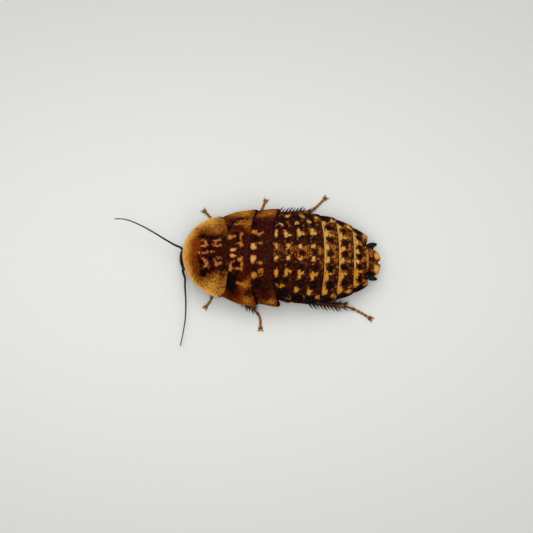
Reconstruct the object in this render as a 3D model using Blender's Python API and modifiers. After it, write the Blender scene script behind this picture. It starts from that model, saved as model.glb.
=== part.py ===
"""A discoid roach, Blaberus discoidalis, as a large wing-padded nymph at life size.

It stands on six feet on the plane z = 0, with its head towards -X and its left side towards -Y.
The origin is on that plane, under the middle of the whole animal with its feelers and feet.
Body coordinates are used throughout: y = 0 is the axis of the thorax, and one empty carries the
whole animal sideways to where it stands.
"""

import math

import bmesh
import bpy
from mathutils import Matrix, Vector

MM = 0.001
GAP = 0.3 * MM
SEAM = 0.36 * MM

# Corners closer than this are one corner.
SLIVER = 0.002 * MM

UP = Vector((0, 0, 1))
RIGHT, LEFT = 1, -1
SIDES = {"right": RIGHT, "left": LEFT}

# The thorax axis lies beside the middle of the box that feelers and feet span.
STANCE = Vector((0.15, 2.1, 0.0)) * MM

# Dorsal plates. Places along the body are measured from the origin, head first.
PLATE_THICKNESS = 0.62 * MM
PLATE_STEP = 0.28 * MM
PRONOTUM_FRONT = -13.15 * MM
PRONOTUM_CORNER = -4.9 * MM
PRONOTUM_HIND = -3.8 * MM
PRONOTUM_HALF_WIDTH = 8.42 * MM
PRONOTUM_BLUNTNESS = 1.11
MESONOTUM_HIND = 0.5 * MM
METANOTUM_HIND = 4.95 * MM
PAD_LENGTH = 1.5 * MM
PAD_CLEARANCE = 0.12 * MM
TERGITE_HINDS = [x * MM for x in (7.4, 9.85, 12.45, 15.3, 18.25, 21.25, 24.2)]
TERGITE_CURVES = [x * MM for x in (3.4, 1.5, 1.4, 1.0, 0.75, 0.3, 0.25)]
CORNER_REACH = 0.45 * MM
SIDE_NOTCH = 0.4 * MM
TAIL_BAND_HIND = 24.9 * MM
TAIL_BAND_REACH = 0.5
TERGITE_1_REACH = 0.6
TAIL_TIP = 26.6 * MM
TAIL_NOTCH = 0.45 * MM
TAIL_NOTCH_SHARE = 0.13
TAIL_PLATE_HALF_WIDTH = 2.75 * MM
TAIL_PLATE_LAP = 0.6 * MM
TAIL_PLATE_ROUNDING = 1.45 * MM
TAIL_PLATE_EDGE = 3.75 * MM
TAIL_PLATE_RISE = 1.75 * MM
TAIL_PLATE_THICKNESS = 0.55 * MM
TAIL_PLATE_SQUARENESS = 2.6
TAIL_PLATE_FALL = 0.35

# Half width, height of the side edge, and rise from the edge to the ridge, along the body.
HALF_WIDTHS = ((-5.0, 8.42), (-3.0, 9.05), (0.0, 9.5), (3.0, 9.8), (6.5, 9.75), (14.5, 9.1),
               (17.5, 8.5), (20.0, 7.5), (22.5, 6.2), (24.6, 4.65), (27.0, 2.7))
ABDOMEN_HALF_WIDTHS = ((4.0, 9.0), (7.0, 9.3), (10.0, 9.4), (14.5, 9.1), (17.5, 8.5),
                       (20.0, 7.5), (22.5, 6.2), (24.6, 4.65), (27.0, 2.7))
EDGE_HEIGHTS = ((-13.0, 4.3), (-9.0, 4.05), (-4.0, 4.0), (12.0, 3.95), (20.0, 3.85), (27.0, 3.7))
RISES = ((-14.0, 4.3), (-4.0, 4.5), (0.0, 4.65), (6.0, 4.8), (11.0, 4.75), (15.0, 4.4),
         (18.5, 3.8), (21.5, 3.05), (24.5, 2.1), (27.0, 1.3))
ARCH_POWER = 0.94

# How far the body axis swings aside at the head end and at the tail end.
HEAD_SWING = 0.4 * MM
TAIL_SWING = -0.95 * MM
SWING_FROM = 5.0 * MM

# Trunk under the plates: rings of (place, half width) for the thorax, then the sternites' margins.
THORAX_SPANS = {
    "prothorax": ((-11.2, 1.5), (-9.7, 2.6), (-8.0, 3.6), (-6.0, 4.4), (-4.0, 4.9)),
    "mesothorax": ((-3.65, 5.0), (-2.2, 5.3), (-0.7, 5.5), (0.6, 5.7)),
    "metathorax": ((0.95, 5.8), (2.2, 6.1), (3.5, 6.5), (4.9, 6.9)),
}
THORAX_DROP = 1.4 * MM
NECK_DROP = 0.75 * MM
NECK_FROM = 0.4
THORAX_SQUARENESS = 0.6
TRUNK_INSET = 1.15 * MM
TRUNK_NARROWS = 23.0 * MM
TRUNK_NARROWING = 0.75
STERNITE_HINDS = (7.2, 9.9, 12.6, 15.4, 18.3, 21.3, 25.2)
STERNITE_STEP = 0.22 * MM
STERNITE_START = 0.08
BELLY_HEIGHTS = ((5.0, 3.45), (7.5, 3.0), (10.0, 2.75), (14.0, 2.6), (18.0, 2.65), (22.0, 2.8),
                 (24.5, 2.85), (26.0, 2.95))
BELLY_SIDE_HEIGHT = 3.0 * MM
THORAX_BELLY = 4.25 * MM

# Head: a blunt wedge from the vertex, in front, to the mouth, behind and below.
VERTEX = Vector((-13.1, -0.1, 2.5)) * MM
MOUTH = Vector((-9.9, -0.1, 1.15)) * MM
HEAD_SECTIONS = ((-0.22, 0.9, 0.55), (-0.17, 1.45, 0.85), (-0.05, 1.85, 1.0), (0.12, 2.05, 1.08),
                 (0.32, 2.1, 1.05), (0.52, 1.8, 0.95), (0.7, 1.35, 0.82), (0.85, 1.05, 0.7),
                 (0.97, 0.8, 0.55), (1.03, 0.45, 0.3))
HEAD_END = 0.4 * MM
JAW_SECTIONS = ((0.0, 0.62, 0.32), (0.15, 0.78, 0.42), (0.55, 0.62, 0.36), (0.85, 0.3, 0.2))
JAW_DROP = 0.02 * MM
HEAD_SIDES = 16
JAW_SIDES = 10
EYE_SEMI_AXES = Vector((0.98, 0.62, 0.72)) * MM
EYE_ALONG = 0.24
EYE_OUT = 1.72 * MM
EYE_BACK = 0.3 * MM

# Feelers, as the routes of their middle lines in body coordinates, in millimetres.
ANTENNA_ROUTES = {
    "right": ((-13.3, 2.1, 1.35), (-13.6, 2.35, 1.8), (-14.2, 2.5, 2.35), (-14.9, 2.75, 2.8),
              (-16.9, 3.87, 3.2), (-18.9, 5.06, 3.6), (-20.9, 6.15, 3.9), (-22.9, 7.06, 4.1),
              (-24.1, 7.5, 4.15), (-25.45, 7.76, 4.1), (-26.85, 7.8, 3.9)),
    "left": ((-13.1, -2.3, 1.35), (-13.0, -2.85, 1.75), (-12.8, -3.5, 2.15), (-12.6, -4.3, 2.5),
             (-12.62, -5.4, 2.8), (-12.5, -7.4, 3.05), (-12.4, -9.4, 3.15), (-12.5, -12.4, 2.95),
             (-12.95, -15.2, 2.4), (-13.5, -17.7, 1.6)),
}
ANTENNA_ROOT_RADIUS = 0.27 * MM
ANTENNA_TIP_RADIUS = 0.13 * MM
ANTENNA_POINTS = 26
SCAPE_ROOT = Vector((-12.75, 1.15, 0.75)) * MM
SCAPE_RADIUS = 0.3 * MM
PALP_ROUTE = ((-10.7, 1.5, 0.75), (-11.3, 1.9, 0.7), (-11.95, 2.05, 0.42), (-12.4, 1.95, 0.3))
PALP_RADIUS = 0.25 * MM
PALP_POINTS = 8
CERCUS_ROOT = Vector((24.7, 2.8, 2.95)) * MM
CERCUS_TIP = Vector((26.15, 3.6, 2.9)) * MM
CERCUS_RADIUS = 0.42 * MM
CERCUS_SHAPE = ((0.0, 0.55), (0.12, 0.9), (0.35, 1.0), (0.6, 0.95), (0.8, 0.75), (0.94, 0.45),
                (1.0, 0.15))

# The middle line of a foot lies this far, in millimetres, above the ground.
FOOT_LEVEL = 0.22

# Legs: hip, trochanter, knee and ankle, then the foot's route, in body coordinates, in millimetres.
LEGS = {
    "front_right": ((-8.2, 2.4, 3.62), (-5.0, 2.6, 1.9), (-7.8, 5.8, 2.9), (-6.6, 7.5, 0.95),
                    ((-7.7, 8.95, FOOT_LEVEL), (-8.9, 10.25, FOOT_LEVEL))),
    "front_left": ((-8.2, -2.4, 3.62), (-5.0, -2.6, 1.9), (-7.6, -5.3, 2.9), (-6.9, -6.7, 0.95),
                   ((-7.6, -8.4, FOOT_LEVEL), (-8.55, -9.68, FOOT_LEVEL))),
    "middle_right": ((-3.6, 3.2, 3.62), (-0.2, 2.9, 1.9), (-2.4, 7.5, 2.8), (1.9, 8.6, 1.0),
                     ((2.9, 10.7, FOOT_LEVEL), (3.6, 12.35, FOOT_LEVEL))),
    "middle_left": ((-3.6, -3.2, 3.62), (-0.2, -2.9, 1.9), (-2.6, -7.4, 2.8), (1.1, -10.05, 1.0),
                    ((2.4, -11.7, FOOT_LEVEL), (2.55, -14.1, FOOT_LEVEL))),
    "hind_right": ((1.3, 3.7, 3.62), (6.4, 2.3, 1.75), (3.7, 9.0, 2.3), (12.4, 9.6, 1.1),
                   ((14.1, 11.25, FOOT_LEVEL), (15.75, 12.9, FOOT_LEVEL))),
    "hind_left": ((1.3, -3.7, 3.6), (6.4, -2.3, 1.65), (10.4, -8.7, 2.0), (19.55, -9.5, 1.1),
                  ((22.3, -10.5, FOOT_LEVEL), (24.8, -12.0, FOOT_LEVEL))),
}
LEG_SCALES = {"front": 0.84, "middle": 0.92, "hind": 1.0}
COXA_RADII = Vector((1.6, 0.75)) * MM
FEMUR_RADII = Vector((0.8, 0.64)) * MM
TIBIA_RADIUS = 0.44 * MM
FOOT_RADIUS = 0.27 * MM
FOOT_START = 0.57 * MM
KNEE_SHARE = 0.8

# Outlines of the limb segments, as (share of length, share of radius).
COXA_SHAPE = ((-0.04, 0.5), (0.04, 0.85), (0.25, 1.0), (0.55, 0.86), (0.85, 0.5), (0.97, 0.34),
              (1.04, 0.2))
FEMUR_SHAPE = ((0.0, 0.4), (0.05, 0.65), (0.25, 1.0), (0.55, 0.98), (0.85, 0.8), (0.97, 0.72),
               (1.05, 0.4))
TIBIA_SHAPE = ((0.0, 0.55), (0.03, 0.8), (0.2, 0.85), (0.6, 0.95), (0.93, 1.1), (0.985, 0.9),
               (1.02, 0.5))
FOOT_JOINTS = (0.0, 0.32, 0.47, 0.6, 0.7, 1.0)
FOOT_JOINT_SHAPE = ((0.03, 0.8), (0.55, 0.98), (0.93, 1.1))

# Rows of spines: start, share of the count, share of the length, degrees from outward to upward.
SPINE_COUNTS = {"front": 3, "middle": 5, "hind": 7}
SPINE_ROWS = ((0.16, 1.0, 1.0, 0), (0.21, 0.55, 0.85, 100), (0.18, 0.6, 0.8, 180))
SPINE_SPAN = 0.76
SPINE_ZIGZAG = 8
SPINE_LEAN = 0.75
SPINE_LENGTH = 1.25 * MM
SPINE_RADIUS = 0.23 * MM
SPINE_TIP = 0.12
SPINE_SEAT = 0.35
SPINE_UNEVENNESS = 0.12
SPUR_ANGLES = (15, 90, 165)
SPUR_PLACE = 0.955
SPUR_SIZE = 0.75
SPUR_BEND = 0.6
SPUR_LEAN = 1.2

# Claws.
CLAW_LENGTH = 0.78 * MM
CLAW_RADIUS = 0.18 * MM
CLAW_SINK = 0.14 * MM
CLAW_SPLAY = 0.9
CLAW_REACH = 0.55
CLAW_DIP = 0.18

# Colours as linear RGB, roughness.
SHIELD = ("shield", (0.46, 0.235, 0.055), 0.38)
BACK = ("back", (0.16, 0.07, 0.025), 0.4)
BELLY = ("belly", (0.2, 0.09, 0.03), 0.42)
LEG = ("leg", (0.17, 0.075, 0.02), 0.4)
DARK = ("dark", (0.018, 0.01, 0.008), 0.35)
EYE = ("eye", (0.01, 0.008, 0.008), 0.2)


def clear_scene():
    for thing in list(bpy.data.objects):
        bpy.data.objects.remove(thing)


def mm(point):
    return Vector(point) * MM


def material(finish):
    name, colour, roughness = finish
    made = bpy.data.materials.get(name) or bpy.data.materials.new(name)
    made.use_nodes = True
    shader = made.node_tree.nodes["Principled BSDF"]
    shader.inputs["Base Color"].default_value = (*colour, 1)
    shader.inputs["Roughness"].default_value = roughness
    shader.inputs["Metallic"].default_value = 0
    return made


def smooth(table, place):
    """The value at a place, on a smooth curve through rows of (place, value) in millimetres."""
    x = place / MM
    last = len(table) - 2
    i = max(0, min(last, sum(row[0] <= x for row in table) - 1))
    x0, y0 = table[i]
    x1, y1 = table[i + 1]
    span = x1 - x0
    before = (y1 - table[i - 1][1]) / (x1 - table[i - 1][0]) if i else (y1 - y0) / span
    after = (table[i + 2][1] - y0) / (table[i + 2][0] - x0) if i < last else (y1 - y0) / span
    t = max(0.0, min(1.0, (x - x0) / span))
    bent = (2 * t**3 - 3 * t**2 + 1) * y0 + (t**3 - 2 * t**2 + t) * span * before
    bent += (3 * t**2 - 2 * t**3) * y1 + (t**3 - t**2) * span * after
    return bent * MM


def swing(x):
    """The sideways place of the body axis at x."""
    if x < PRONOTUM_CORNER:
        return HEAD_SWING * ((PRONOTUM_CORNER - x) / (PRONOTUM_CORNER - PRONOTUM_FRONT)) ** 1.5
    if x > SWING_FROM:
        return TAIL_SWING * ((x - SWING_FROM) / (TAIL_TIP - SWING_FROM)) ** 1.3
    return 0.0


def arch(t):
    """Height of the back across the body: 1 on the ridge and 0 at the side edge."""
    return max(0.0, math.cos(0.5 * math.pi * min(1.0, abs(t)))) ** ARCH_POWER


def on_back(x, y, half_width):
    """A point of the back's outer surface."""
    height = smooth(EDGE_HEIGHTS, x) + smooth(RISES, x) * arch(y / half_width)
    return Vector((x, y + swing(x), height))


def finish_object(obj, finish, home):
    obj.data.materials.clear()
    obj.data.materials.append(material(finish))
    if obj.type == "MESH":
        obj.data.shade_smooth()
        obj.data.set_sharp_from_angle(angle=math.radians(40))
    for old in list(obj.users_collection):
        old.objects.unlink(obj)
    home.objects.link(obj)
    return obj


def object_from(mesh_builder, name):
    data = bpy.data.meshes.new(name)
    mesh_builder.to_mesh(data)
    mesh_builder.free()
    obj = bpy.data.objects.new(name, data)
    bpy.context.scene.collection.objects.link(obj)
    return obj


def plate(name, columns, rows, place, thickness=PLATE_THICKNESS):
    """A shell over the back: a flat grid laid on the surface place(u, v), then thickened inwards.

    u runs from 0 in front to 1 behind, and v from -1 on the left to 1 on the right.
    """
    grid = bmesh.new()
    bmesh.ops.create_grid(grid, x_segments=columns, y_segments=rows, size=1)
    for vertex in grid.verts:
        vertex.co = place((vertex.co.x + 1) / 2, vertex.co.y)
    obj = object_from(grid, name)
    shell = obj.modifiers.new("thickness", "SOLIDIFY")
    shell.thickness = thickness
    shell.offset = -1
    return obj


def loft(name, rings):
    """A closed solid through rings of points that all run the same way round."""
    body = bmesh.new()
    loops = [[body.verts.new(point) for point in ring] for ring in rings]
    count = len(rings[0])
    for first, second in zip(loops, loops[1:]):
        for i in range(count):
            j = (i + 1) % count
            body.faces.new((first[i], first[j], second[j], second[i]))
    body.faces.new(loops[0][::-1])
    body.faces.new(loops[-1])
    bmesh.ops.recalc_face_normals(body, faces=body.faces)
    return object_from(body, name)


def tube_rings(centres, radii, sides):
    """Rings square to a route, each an ellipse of (sideways radius, upward radius)."""
    rings = []
    for i, centre in enumerate(centres):
        before = centres[max(0, i - 1)]
        after = centres[min(len(centres) - 1, i + 1)]
        along = (after - before).normalized()
        across = along.cross(UP).normalized()
        upward = across.cross(along)
        wide, high = radii[i]
        ring = []
        for k in range(sides):
            turn = 2 * math.pi * (k + 0.5) / sides
            ring.append(centre + across * wide * math.cos(turn) + upward * high * math.sin(turn))
        rings.append(ring)
    return rings


def on_route(points, share):
    """The point at a share, 0 to 1, of a smooth curve through the given points."""
    ends = [points[0] * 2 - points[1], *points, points[-1] * 2 - points[-2]]
    at = share * (len(points) - 1)
    i = min(int(at), len(points) - 2)
    t = at - i
    a, b, c, d = ends[i : i + 4]
    return 0.5 * (2 * b + (c - a) * t + (2 * a - 5 * b + 4 * c - d) * t * t
                  + (3 * b - a - 3 * c + d) * t**3)


def route(points, count):
    """Evenly counted points on a smooth curve through the given ones."""
    return [on_route(points, k / (count - 1)) for k in range(count)]


def feeler(name, points, root_radius, tip_radius, bevel_resolution=2):
    """A tapering round feeler as a bevelled curve."""
    curve = bpy.data.curves.new(name, "CURVE")
    curve.dimensions = "3D"
    curve.bevel_depth = root_radius
    curve.bevel_resolution = bevel_resolution
    curve.use_fill_caps = True
    spline = curve.splines.new("POLY")
    spline.points.add(len(points) - 1)
    for i, point in enumerate(points):
        share = i / (len(points) - 1)
        spline.points[i].co = (*point, 1)
        spline.points[i].radius = 1 + (tip_radius / root_radius - 1) * share**2
    obj = bpy.data.objects.new(name, curve)
    bpy.context.scene.collection.objects.link(obj)
    return obj


def joined(base, extras):
    """base with every extra piece fused into it by one union."""
    group = bpy.data.collections.new(base.name + "_extras")
    for extra in extras:
        for old in list(extra.users_collection):
            old.objects.unlink(extra)
        group.objects.link(extra)
    union = base.modifiers.new("fused", "BOOLEAN")
    union.operation = "UNION"
    union.operand_type = "COLLECTION"
    union.collection = group
    apply_modifiers(base)
    for extra in extras:
        bpy.data.objects.remove(extra)
    bpy.data.collections.remove(group)
    keep_largest(base)
    return base


def apply_modifiers(obj):
    bpy.context.view_layer.update()
    graph = bpy.context.evaluated_depsgraph_get()
    data = bpy.data.meshes.new_from_object(obj.evaluated_get(graph))
    obj.modifiers.clear()
    obj.data = data


def keep_largest(obj):
    """Only the largest closed surface stays."""
    body = bmesh.new()
    body.from_mesh(obj.data)
    left = set(body.verts)
    islands = []
    while left:
        seed = left.pop()
        island, edge = {seed}, [seed]
        while edge:
            for link in edge.pop().link_edges:
                for vertex in link.verts:
                    if vertex in left:
                        left.discard(vertex)
                        island.add(vertex)
                        edge.append(vertex)
        islands.append(island)
    islands.sort(key=len)
    for island in islands[:-1]:
        bmesh.ops.delete(body, geom=list(island), context="VERTS")
    bmesh.ops.remove_doubles(body, verts=body.verts, dist=SLIVER)
    body.to_mesh(obj.data)
    body.free()


def cone(root, direction, length, radius, sides=5):
    """A spine whose round foot is at root."""
    turn = direction.to_track_quat("Z", "Y").to_matrix().to_4x4()
    place = Matrix.Translation(root + direction * (length / 2)) @ turn
    body = bmesh.new()
    bmesh.ops.create_cone(body, cap_ends=True, segments=sides, radius1=radius,
                          radius2=radius * SPINE_TIP, depth=length, matrix=place)
    return object_from(body, "spine")


def pronotum_hind(y):
    """Place of the shield's hind margin at a distance y from the axis."""
    t = min(1.0, abs(y) / PRONOTUM_HALF_WIDTH)
    return PRONOTUM_CORNER + (PRONOTUM_HIND - PRONOTUM_CORNER) * (1 - t**2.2)


def mesonotum_hind(y):
    t = min(1.0, abs(y) / smooth(HALF_WIDTHS, 1.5 * MM))
    return MESONOTUM_HIND + PAD_LENGTH * t**3


def metanotum_hind(y):
    t = min(1.0, abs(y) / smooth(HALF_WIDTHS, 6.0 * MM))
    return METANOTUM_HIND + PAD_LENGTH * t**3.2


def tergite_hind(number, y):
    """Hind margin of an abdominal tergite, drawn forwards at the sides, with a backward corner."""
    hind = TERGITE_HINDS[number - 1]
    t = min(1.0, abs(y) / smooth(ABDOMEN_HALF_WIDTHS, hind))
    return hind - TERGITE_CURVES[number - 1] * t**2.6 + CORNER_REACH * t**14


def tergite_front_1(y):
    """Front margin of the first tergite, clear of the hind wing pads."""
    return metanotum_hind(y) + SEAM


def tergite_front(number, y):
    """Front margin of a later tergite. The second also stays clear of the hind wing pads."""
    before = tergite_hind(number - 1, y)
    if number == 2:
        before = max(before, metanotum_hind(y) + PAD_CLEARANCE)
    return before + SEAM


def make_pronotum():
    """The shield: a half disc with a blunt front, domed, over the head and front thorax."""

    def place(u, v):
        forward = 1 - u
        ahead = forward * math.sqrt(1 - v * v / 2)
        aside = v * math.sqrt(1 - forward * forward / 2)
        radius = math.hypot(ahead, aside)
        lean = (ahead / radius) ** PRONOTUM_BLUNTNESS if radius else 0.0
        y = PRONOTUM_HALF_WIDTH * aside
        bulge = pronotum_hind(y) - PRONOTUM_CORNER
        x = PRONOTUM_CORNER - (PRONOTUM_CORNER - PRONOTUM_FRONT) * radius * lean
        x += bulge * (1 - min(1.0, ahead / max(1e-6, math.sqrt(max(0.0, 1 - aside**2)))))
        height = smooth(EDGE_HEIGHTS, x) + smooth(RISES, x) * arch(radius)
        return Vector((x, y + swing(x), height))

    return plate("pronotum", 11, 16, place)


def banded_plate(name, front, hind, half_width, columns, rows, notch=SIDE_NOTCH, reach=1.0):
    """A plate that spans the back between the margins front(y) and hind(y)."""
    table = HALF_WIDTHS if name.endswith("notum") else ABDOMEN_HALF_WIDTHS

    def place(u, v):
        y = v * half_width * reach
        for _ in range(4):
            x = front(y) + (hind(y) - front(y)) * u
            y = v * (smooth(table, x) * reach - notch * (1 - u) ** 3)
        point = on_back(x, y, smooth(table, x))
        point.z -= PLATE_STEP * (1 - u)
        return point

    return plate(name, columns, rows, place)


def make_back_plates():
    """Mesonotum and metanotum with their wing pads, then the tergites of the abdomen."""
    plates = [
        banded_plate("mesonotum", lambda y: pronotum_hind(y) + SEAM, mesonotum_hind,
                     smooth(HALF_WIDTHS, -1 * MM), 6, 18),
        banded_plate("metanotum", lambda y: mesonotum_hind(y) + SEAM, metanotum_hind,
                     smooth(HALF_WIDTHS, 4 * MM), 6, 18),
    ]
    for number in range(1, len(TERGITE_HINDS) + 1):
        middle = smooth(ABDOMEN_HALF_WIDTHS, TERGITE_HINDS[number - 1] - MM)

        def hind(y, n=number):
            return tergite_hind(n, y)

        if number == 1:
            plates.append(banded_plate("tergite_1", tergite_front_1, hind, middle, 3, 14, 0.0,
                                       TERGITE_1_REACH))
            continue

        def front(y, n=number):
            return tergite_front(n, y)

        plates.append(banded_plate(f"tergite_{number}", front, hind, middle, 4, 16))
    return plates


def make_tail_plates():
    """The short band of tergites eight and nine, and the two-lobed plate over the vent."""
    last = len(TERGITE_HINDS)
    band = banded_plate("tergite_8_9", lambda y: tergite_hind(last, y) + SEAM,
                        lambda y: TAIL_BAND_HIND, smooth(ABDOMEN_HALF_WIDTHS, TAIL_BAND_HIND),
                        2, 10, 0.0, TAIL_BAND_REACH)

    def place(u, v):
        rounding = 1 - (1 - abs(v) ** TAIL_PLATE_SQUARENESS) ** (1 / TAIL_PLATE_SQUARENESS)
        notch = math.exp(-((v / TAIL_NOTCH_SHARE) ** 2))
        hind = TAIL_TIP - TAIL_PLATE_ROUNDING * rounding - TAIL_NOTCH * notch
        front = TAIL_BAND_HIND + SEAM + TAIL_PLATE_LAP
        x = front + (hind - front) * u
        height = TAIL_PLATE_EDGE + TAIL_PLATE_RISE * arch(v * 0.92) * (1 - TAIL_PLATE_FALL * u)
        return Vector((x, v * TAIL_PLATE_HALF_WIDTH + swing(x), height))

    return [band, plate("supra_anal_plate", 5, 14, place, TAIL_PLATE_THICKNESS)]


def under_plate(x, y, cover):
    """Height of the trunk's roof: the underside of the plates less the gap below them."""
    rise = smooth(RISES, x)
    step = 0.02
    slope = rise * (arch(abs(y) / cover - step) - arch(abs(y) / cover + step)) / (2 * step * cover)
    drop = (PLATE_THICKNESS + PLATE_STEP + SEAM) * math.sqrt(1 + slope * slope)
    return smooth(EDGE_HEIGHTS, x) + rise * arch(y / cover) - drop


def trunk_ring(x, half, cover, belly, side_belly, sides=20):
    """One ring of the trunk: it follows the plates above and a shallow bow below."""
    ring = []
    for k in range(sides):
        turn = 2 * math.pi * k / sides
        t = math.cos(turn)
        roof = under_plate(x, half * t, cover)
        floor = belly + (side_belly - belly) * abs(t) ** 1.8
        if abs(math.sin(turn)) < 1e-6:
            z = (roof + floor) / 2
        else:
            z = roof if math.sin(turn) > 0 else floor
        ring.append(Vector((x, half * t + swing(x), z)))
    return ring


def make_thorax():
    """Three trunk pieces, one under the shield and one under each winged plate."""
    pieces = []
    for name, stations in THORAX_SPANS.items():
        rings = [thorax_ring(x * MM, half * MM, name == "prothorax") for x, half in stations]
        pieces.append(loft(name, rings))
    return pieces


def thorax_ring(x, half, under_shield, sides=16):
    """A ring between the inside of the plates and the flat underside that the coxae meet."""
    ahead = max(0.0, (PRONOTUM_CORNER - x) / (PRONOTUM_CORNER - PRONOTUM_FRONT))
    cover = PRONOTUM_HALF_WIDTH if under_shield else smooth(HALF_WIDTHS, x)
    floor = THORAX_BELLY - NECK_DROP * max(0.0, ahead - NECK_FROM) / (1 - NECK_FROM)
    ring = []
    for k in range(sides):
        turn = 2 * math.pi * k / sides
        y = half * math.cos(turn)
        radius = math.hypot(ahead, y / cover) if under_shield else y / cover
        roof = smooth(EDGE_HEIGHTS, x) + smooth(RISES, x) * arch(radius) - THORAX_DROP
        middle = (roof + floor) / 2
        height = roof if math.sin(turn) > 1e-6 else floor
        share = abs(math.sin(turn)) ** THORAX_SQUARENESS
        ring.append(Vector((x, y + swing(x), middle + (height - middle) * share)))
    return ring


def make_abdomen():
    """The trunk behind the thorax, with seven sternites that step like roof tiles below."""
    rings = []
    start = (METANOTUM_HIND + GAP) / MM
    for hind in STERNITE_HINDS:
        for share in (0.0, 0.5, 1.0):
            x = (start + (hind - start) * share) * MM
            lip = STERNITE_STEP * (share - 0.5)
            cover = smooth(ABDOMEN_HALF_WIDTHS, x)
            half = cover - TRUNK_INSET - TRUNK_NARROWING * max(0.0, x - TRUNK_NARROWS)
            belly = smooth(BELLY_HEIGHTS, x) - lip
            side = min(BELLY_SIDE_HEIGHT, under_plate(x, half, cover) - GAP) - 0.5 * lip
            rings.append(trunk_ring(x, half, cover, belly, side))
        start = hind + STERNITE_START
    return loft("abdomen", rings)


def head_frame():
    """Axes of the head: along it from vertex to mouth, to the right, and out of the face."""
    along = (MOUTH - VERTEX).normalized()
    right = Vector((0, 1, 0))
    face = along.cross(right).normalized()
    if face.z > 0:
        face = -face
    return along, right, face


def ellipsoid(name, centre, axes, semi_axes, segments=14, rings=9):
    """A smooth egg with its three half axes along the given directions."""
    body = bmesh.new()
    bmesh.ops.create_uvsphere(body, u_segments=segments, v_segments=rings, radius=1)
    turn = Matrix([axes[0] * semi_axes.x, axes[1] * semi_axes.y, axes[2] * semi_axes.z]).transposed()
    for vertex in body.verts:
        vertex.co = centre + turn @ vertex.co
    if turn.determinant() < 0:
        bmesh.ops.reverse_faces(body, faces=body.faces)
    return object_from(body, name)


def head_ring(centre, wide, deep, sides):
    """An ellipse square to the head's length."""
    _, right, face = head_frame()
    turns = [2 * math.pi * k / sides for k in range(sides)]
    return [centre + right * wide * math.cos(turn) + face * deep * math.sin(turn) for turn in turns]


def make_head():
    """The head capsule with sockets, and the two eyes that sit in them."""
    along, right, face = head_frame()
    reach = MOUTH - VERTEX
    head = loft("head", [head_ring(VERTEX + reach * share, wide * MM, deep * MM, HEAD_SIDES)
                         for share, wide, deep in HEAD_SECTIONS])
    eyes = []
    for side, sign in SIDES.items():
        centre = VERTEX + reach * EYE_ALONG + right * sign * EYE_OUT - face * EYE_BACK
        eyes.append(ellipsoid(f"eye_{side}", centre, (along, right, face), EYE_SEMI_AXES))
        grown = EYE_SEMI_AXES + Vector((GAP, GAP, GAP))
        socket = ellipsoid(f"socket_{side}", centre, (along, right, face), grown)
        cut = head.modifiers.new(socket.name, "BOOLEAN")
        cut.operation = "DIFFERENCE"
        cut.object = socket
        apply_modifiers(head)
        bpy.data.objects.remove(socket)
    keep_largest(head)
    return head, eyes


def make_mouth():
    """Upper lip and jaws as one blunt wedge at the end of the head."""
    along, _, face = head_frame()
    root = MOUTH + along * HEAD_END + face * JAW_DROP
    return loft("mouthparts", [head_ring(root + along * ahead * MM, wide * MM, deep * MM, JAW_SIDES)
                               for ahead, wide, deep in JAW_SECTIONS])


def make_feelers():
    """Antennae, each a scape and a long flagellum, the palps beside the mouth, and the cerci."""
    pieces = []
    for side, sign in SIDES.items():
        points = [mm(p) for p in ANTENNA_ROUTES[side]]
        root = Vector((SCAPE_ROOT.x, SCAPE_ROOT.y * sign, SCAPE_ROOT.z))
        reach = points[0] - root
        tip = root + reach * (1 - 1.4 * GAP / reach.length)
        start = root + reach.normalized() * GAP
        scape = feeler(f"antenna_{side}_scape", [start, start.lerp(tip, 0.5), tip],
                       SCAPE_RADIUS, SCAPE_RADIUS * 0.95)
        flagellum = feeler(f"antenna_{side}_flagellum", route(points, ANTENNA_POINTS),
                           ANTENNA_ROOT_RADIUS, ANTENNA_TIP_RADIUS, 1)
        palp_points = [mm((x, y * sign, z)) for x, y, z in PALP_ROUTE]
        palp = feeler(f"palp_{side}", route(palp_points, PALP_POINTS), PALP_RADIUS,
                      PALP_RADIUS * 0.85, 1)
        cercus = make_cercus(side, sign)
        pieces += [scape, flagellum, palp, cercus]
    return pieces


def make_cercus(side, sign):
    """A short, stout, jointed tail feeler."""
    shift = swing(CERCUS_ROOT.x)
    root = Vector((CERCUS_ROOT.x, CERCUS_ROOT.y * sign + shift, CERCUS_ROOT.z))
    tip = Vector((CERCUS_TIP.x, CERCUS_TIP.y * sign + shift, CERCUS_TIP.z))
    return limb(f"cercus_{side}", root, tip, CERCUS_SHAPE, Vector((1, 0.85)) * CERCUS_RADIUS)


def limb(name, start, end, shape, radii, sides=8):
    """A limb segment between two points, as rings of (share of length, share of radius)."""
    centres = [start.lerp(end, share) for share, _ in shape]
    sizes = [(radii.x * size, radii.y * size) for _, size in shape]
    return loft(name, tube_rings(centres, sizes, sides))


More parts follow.
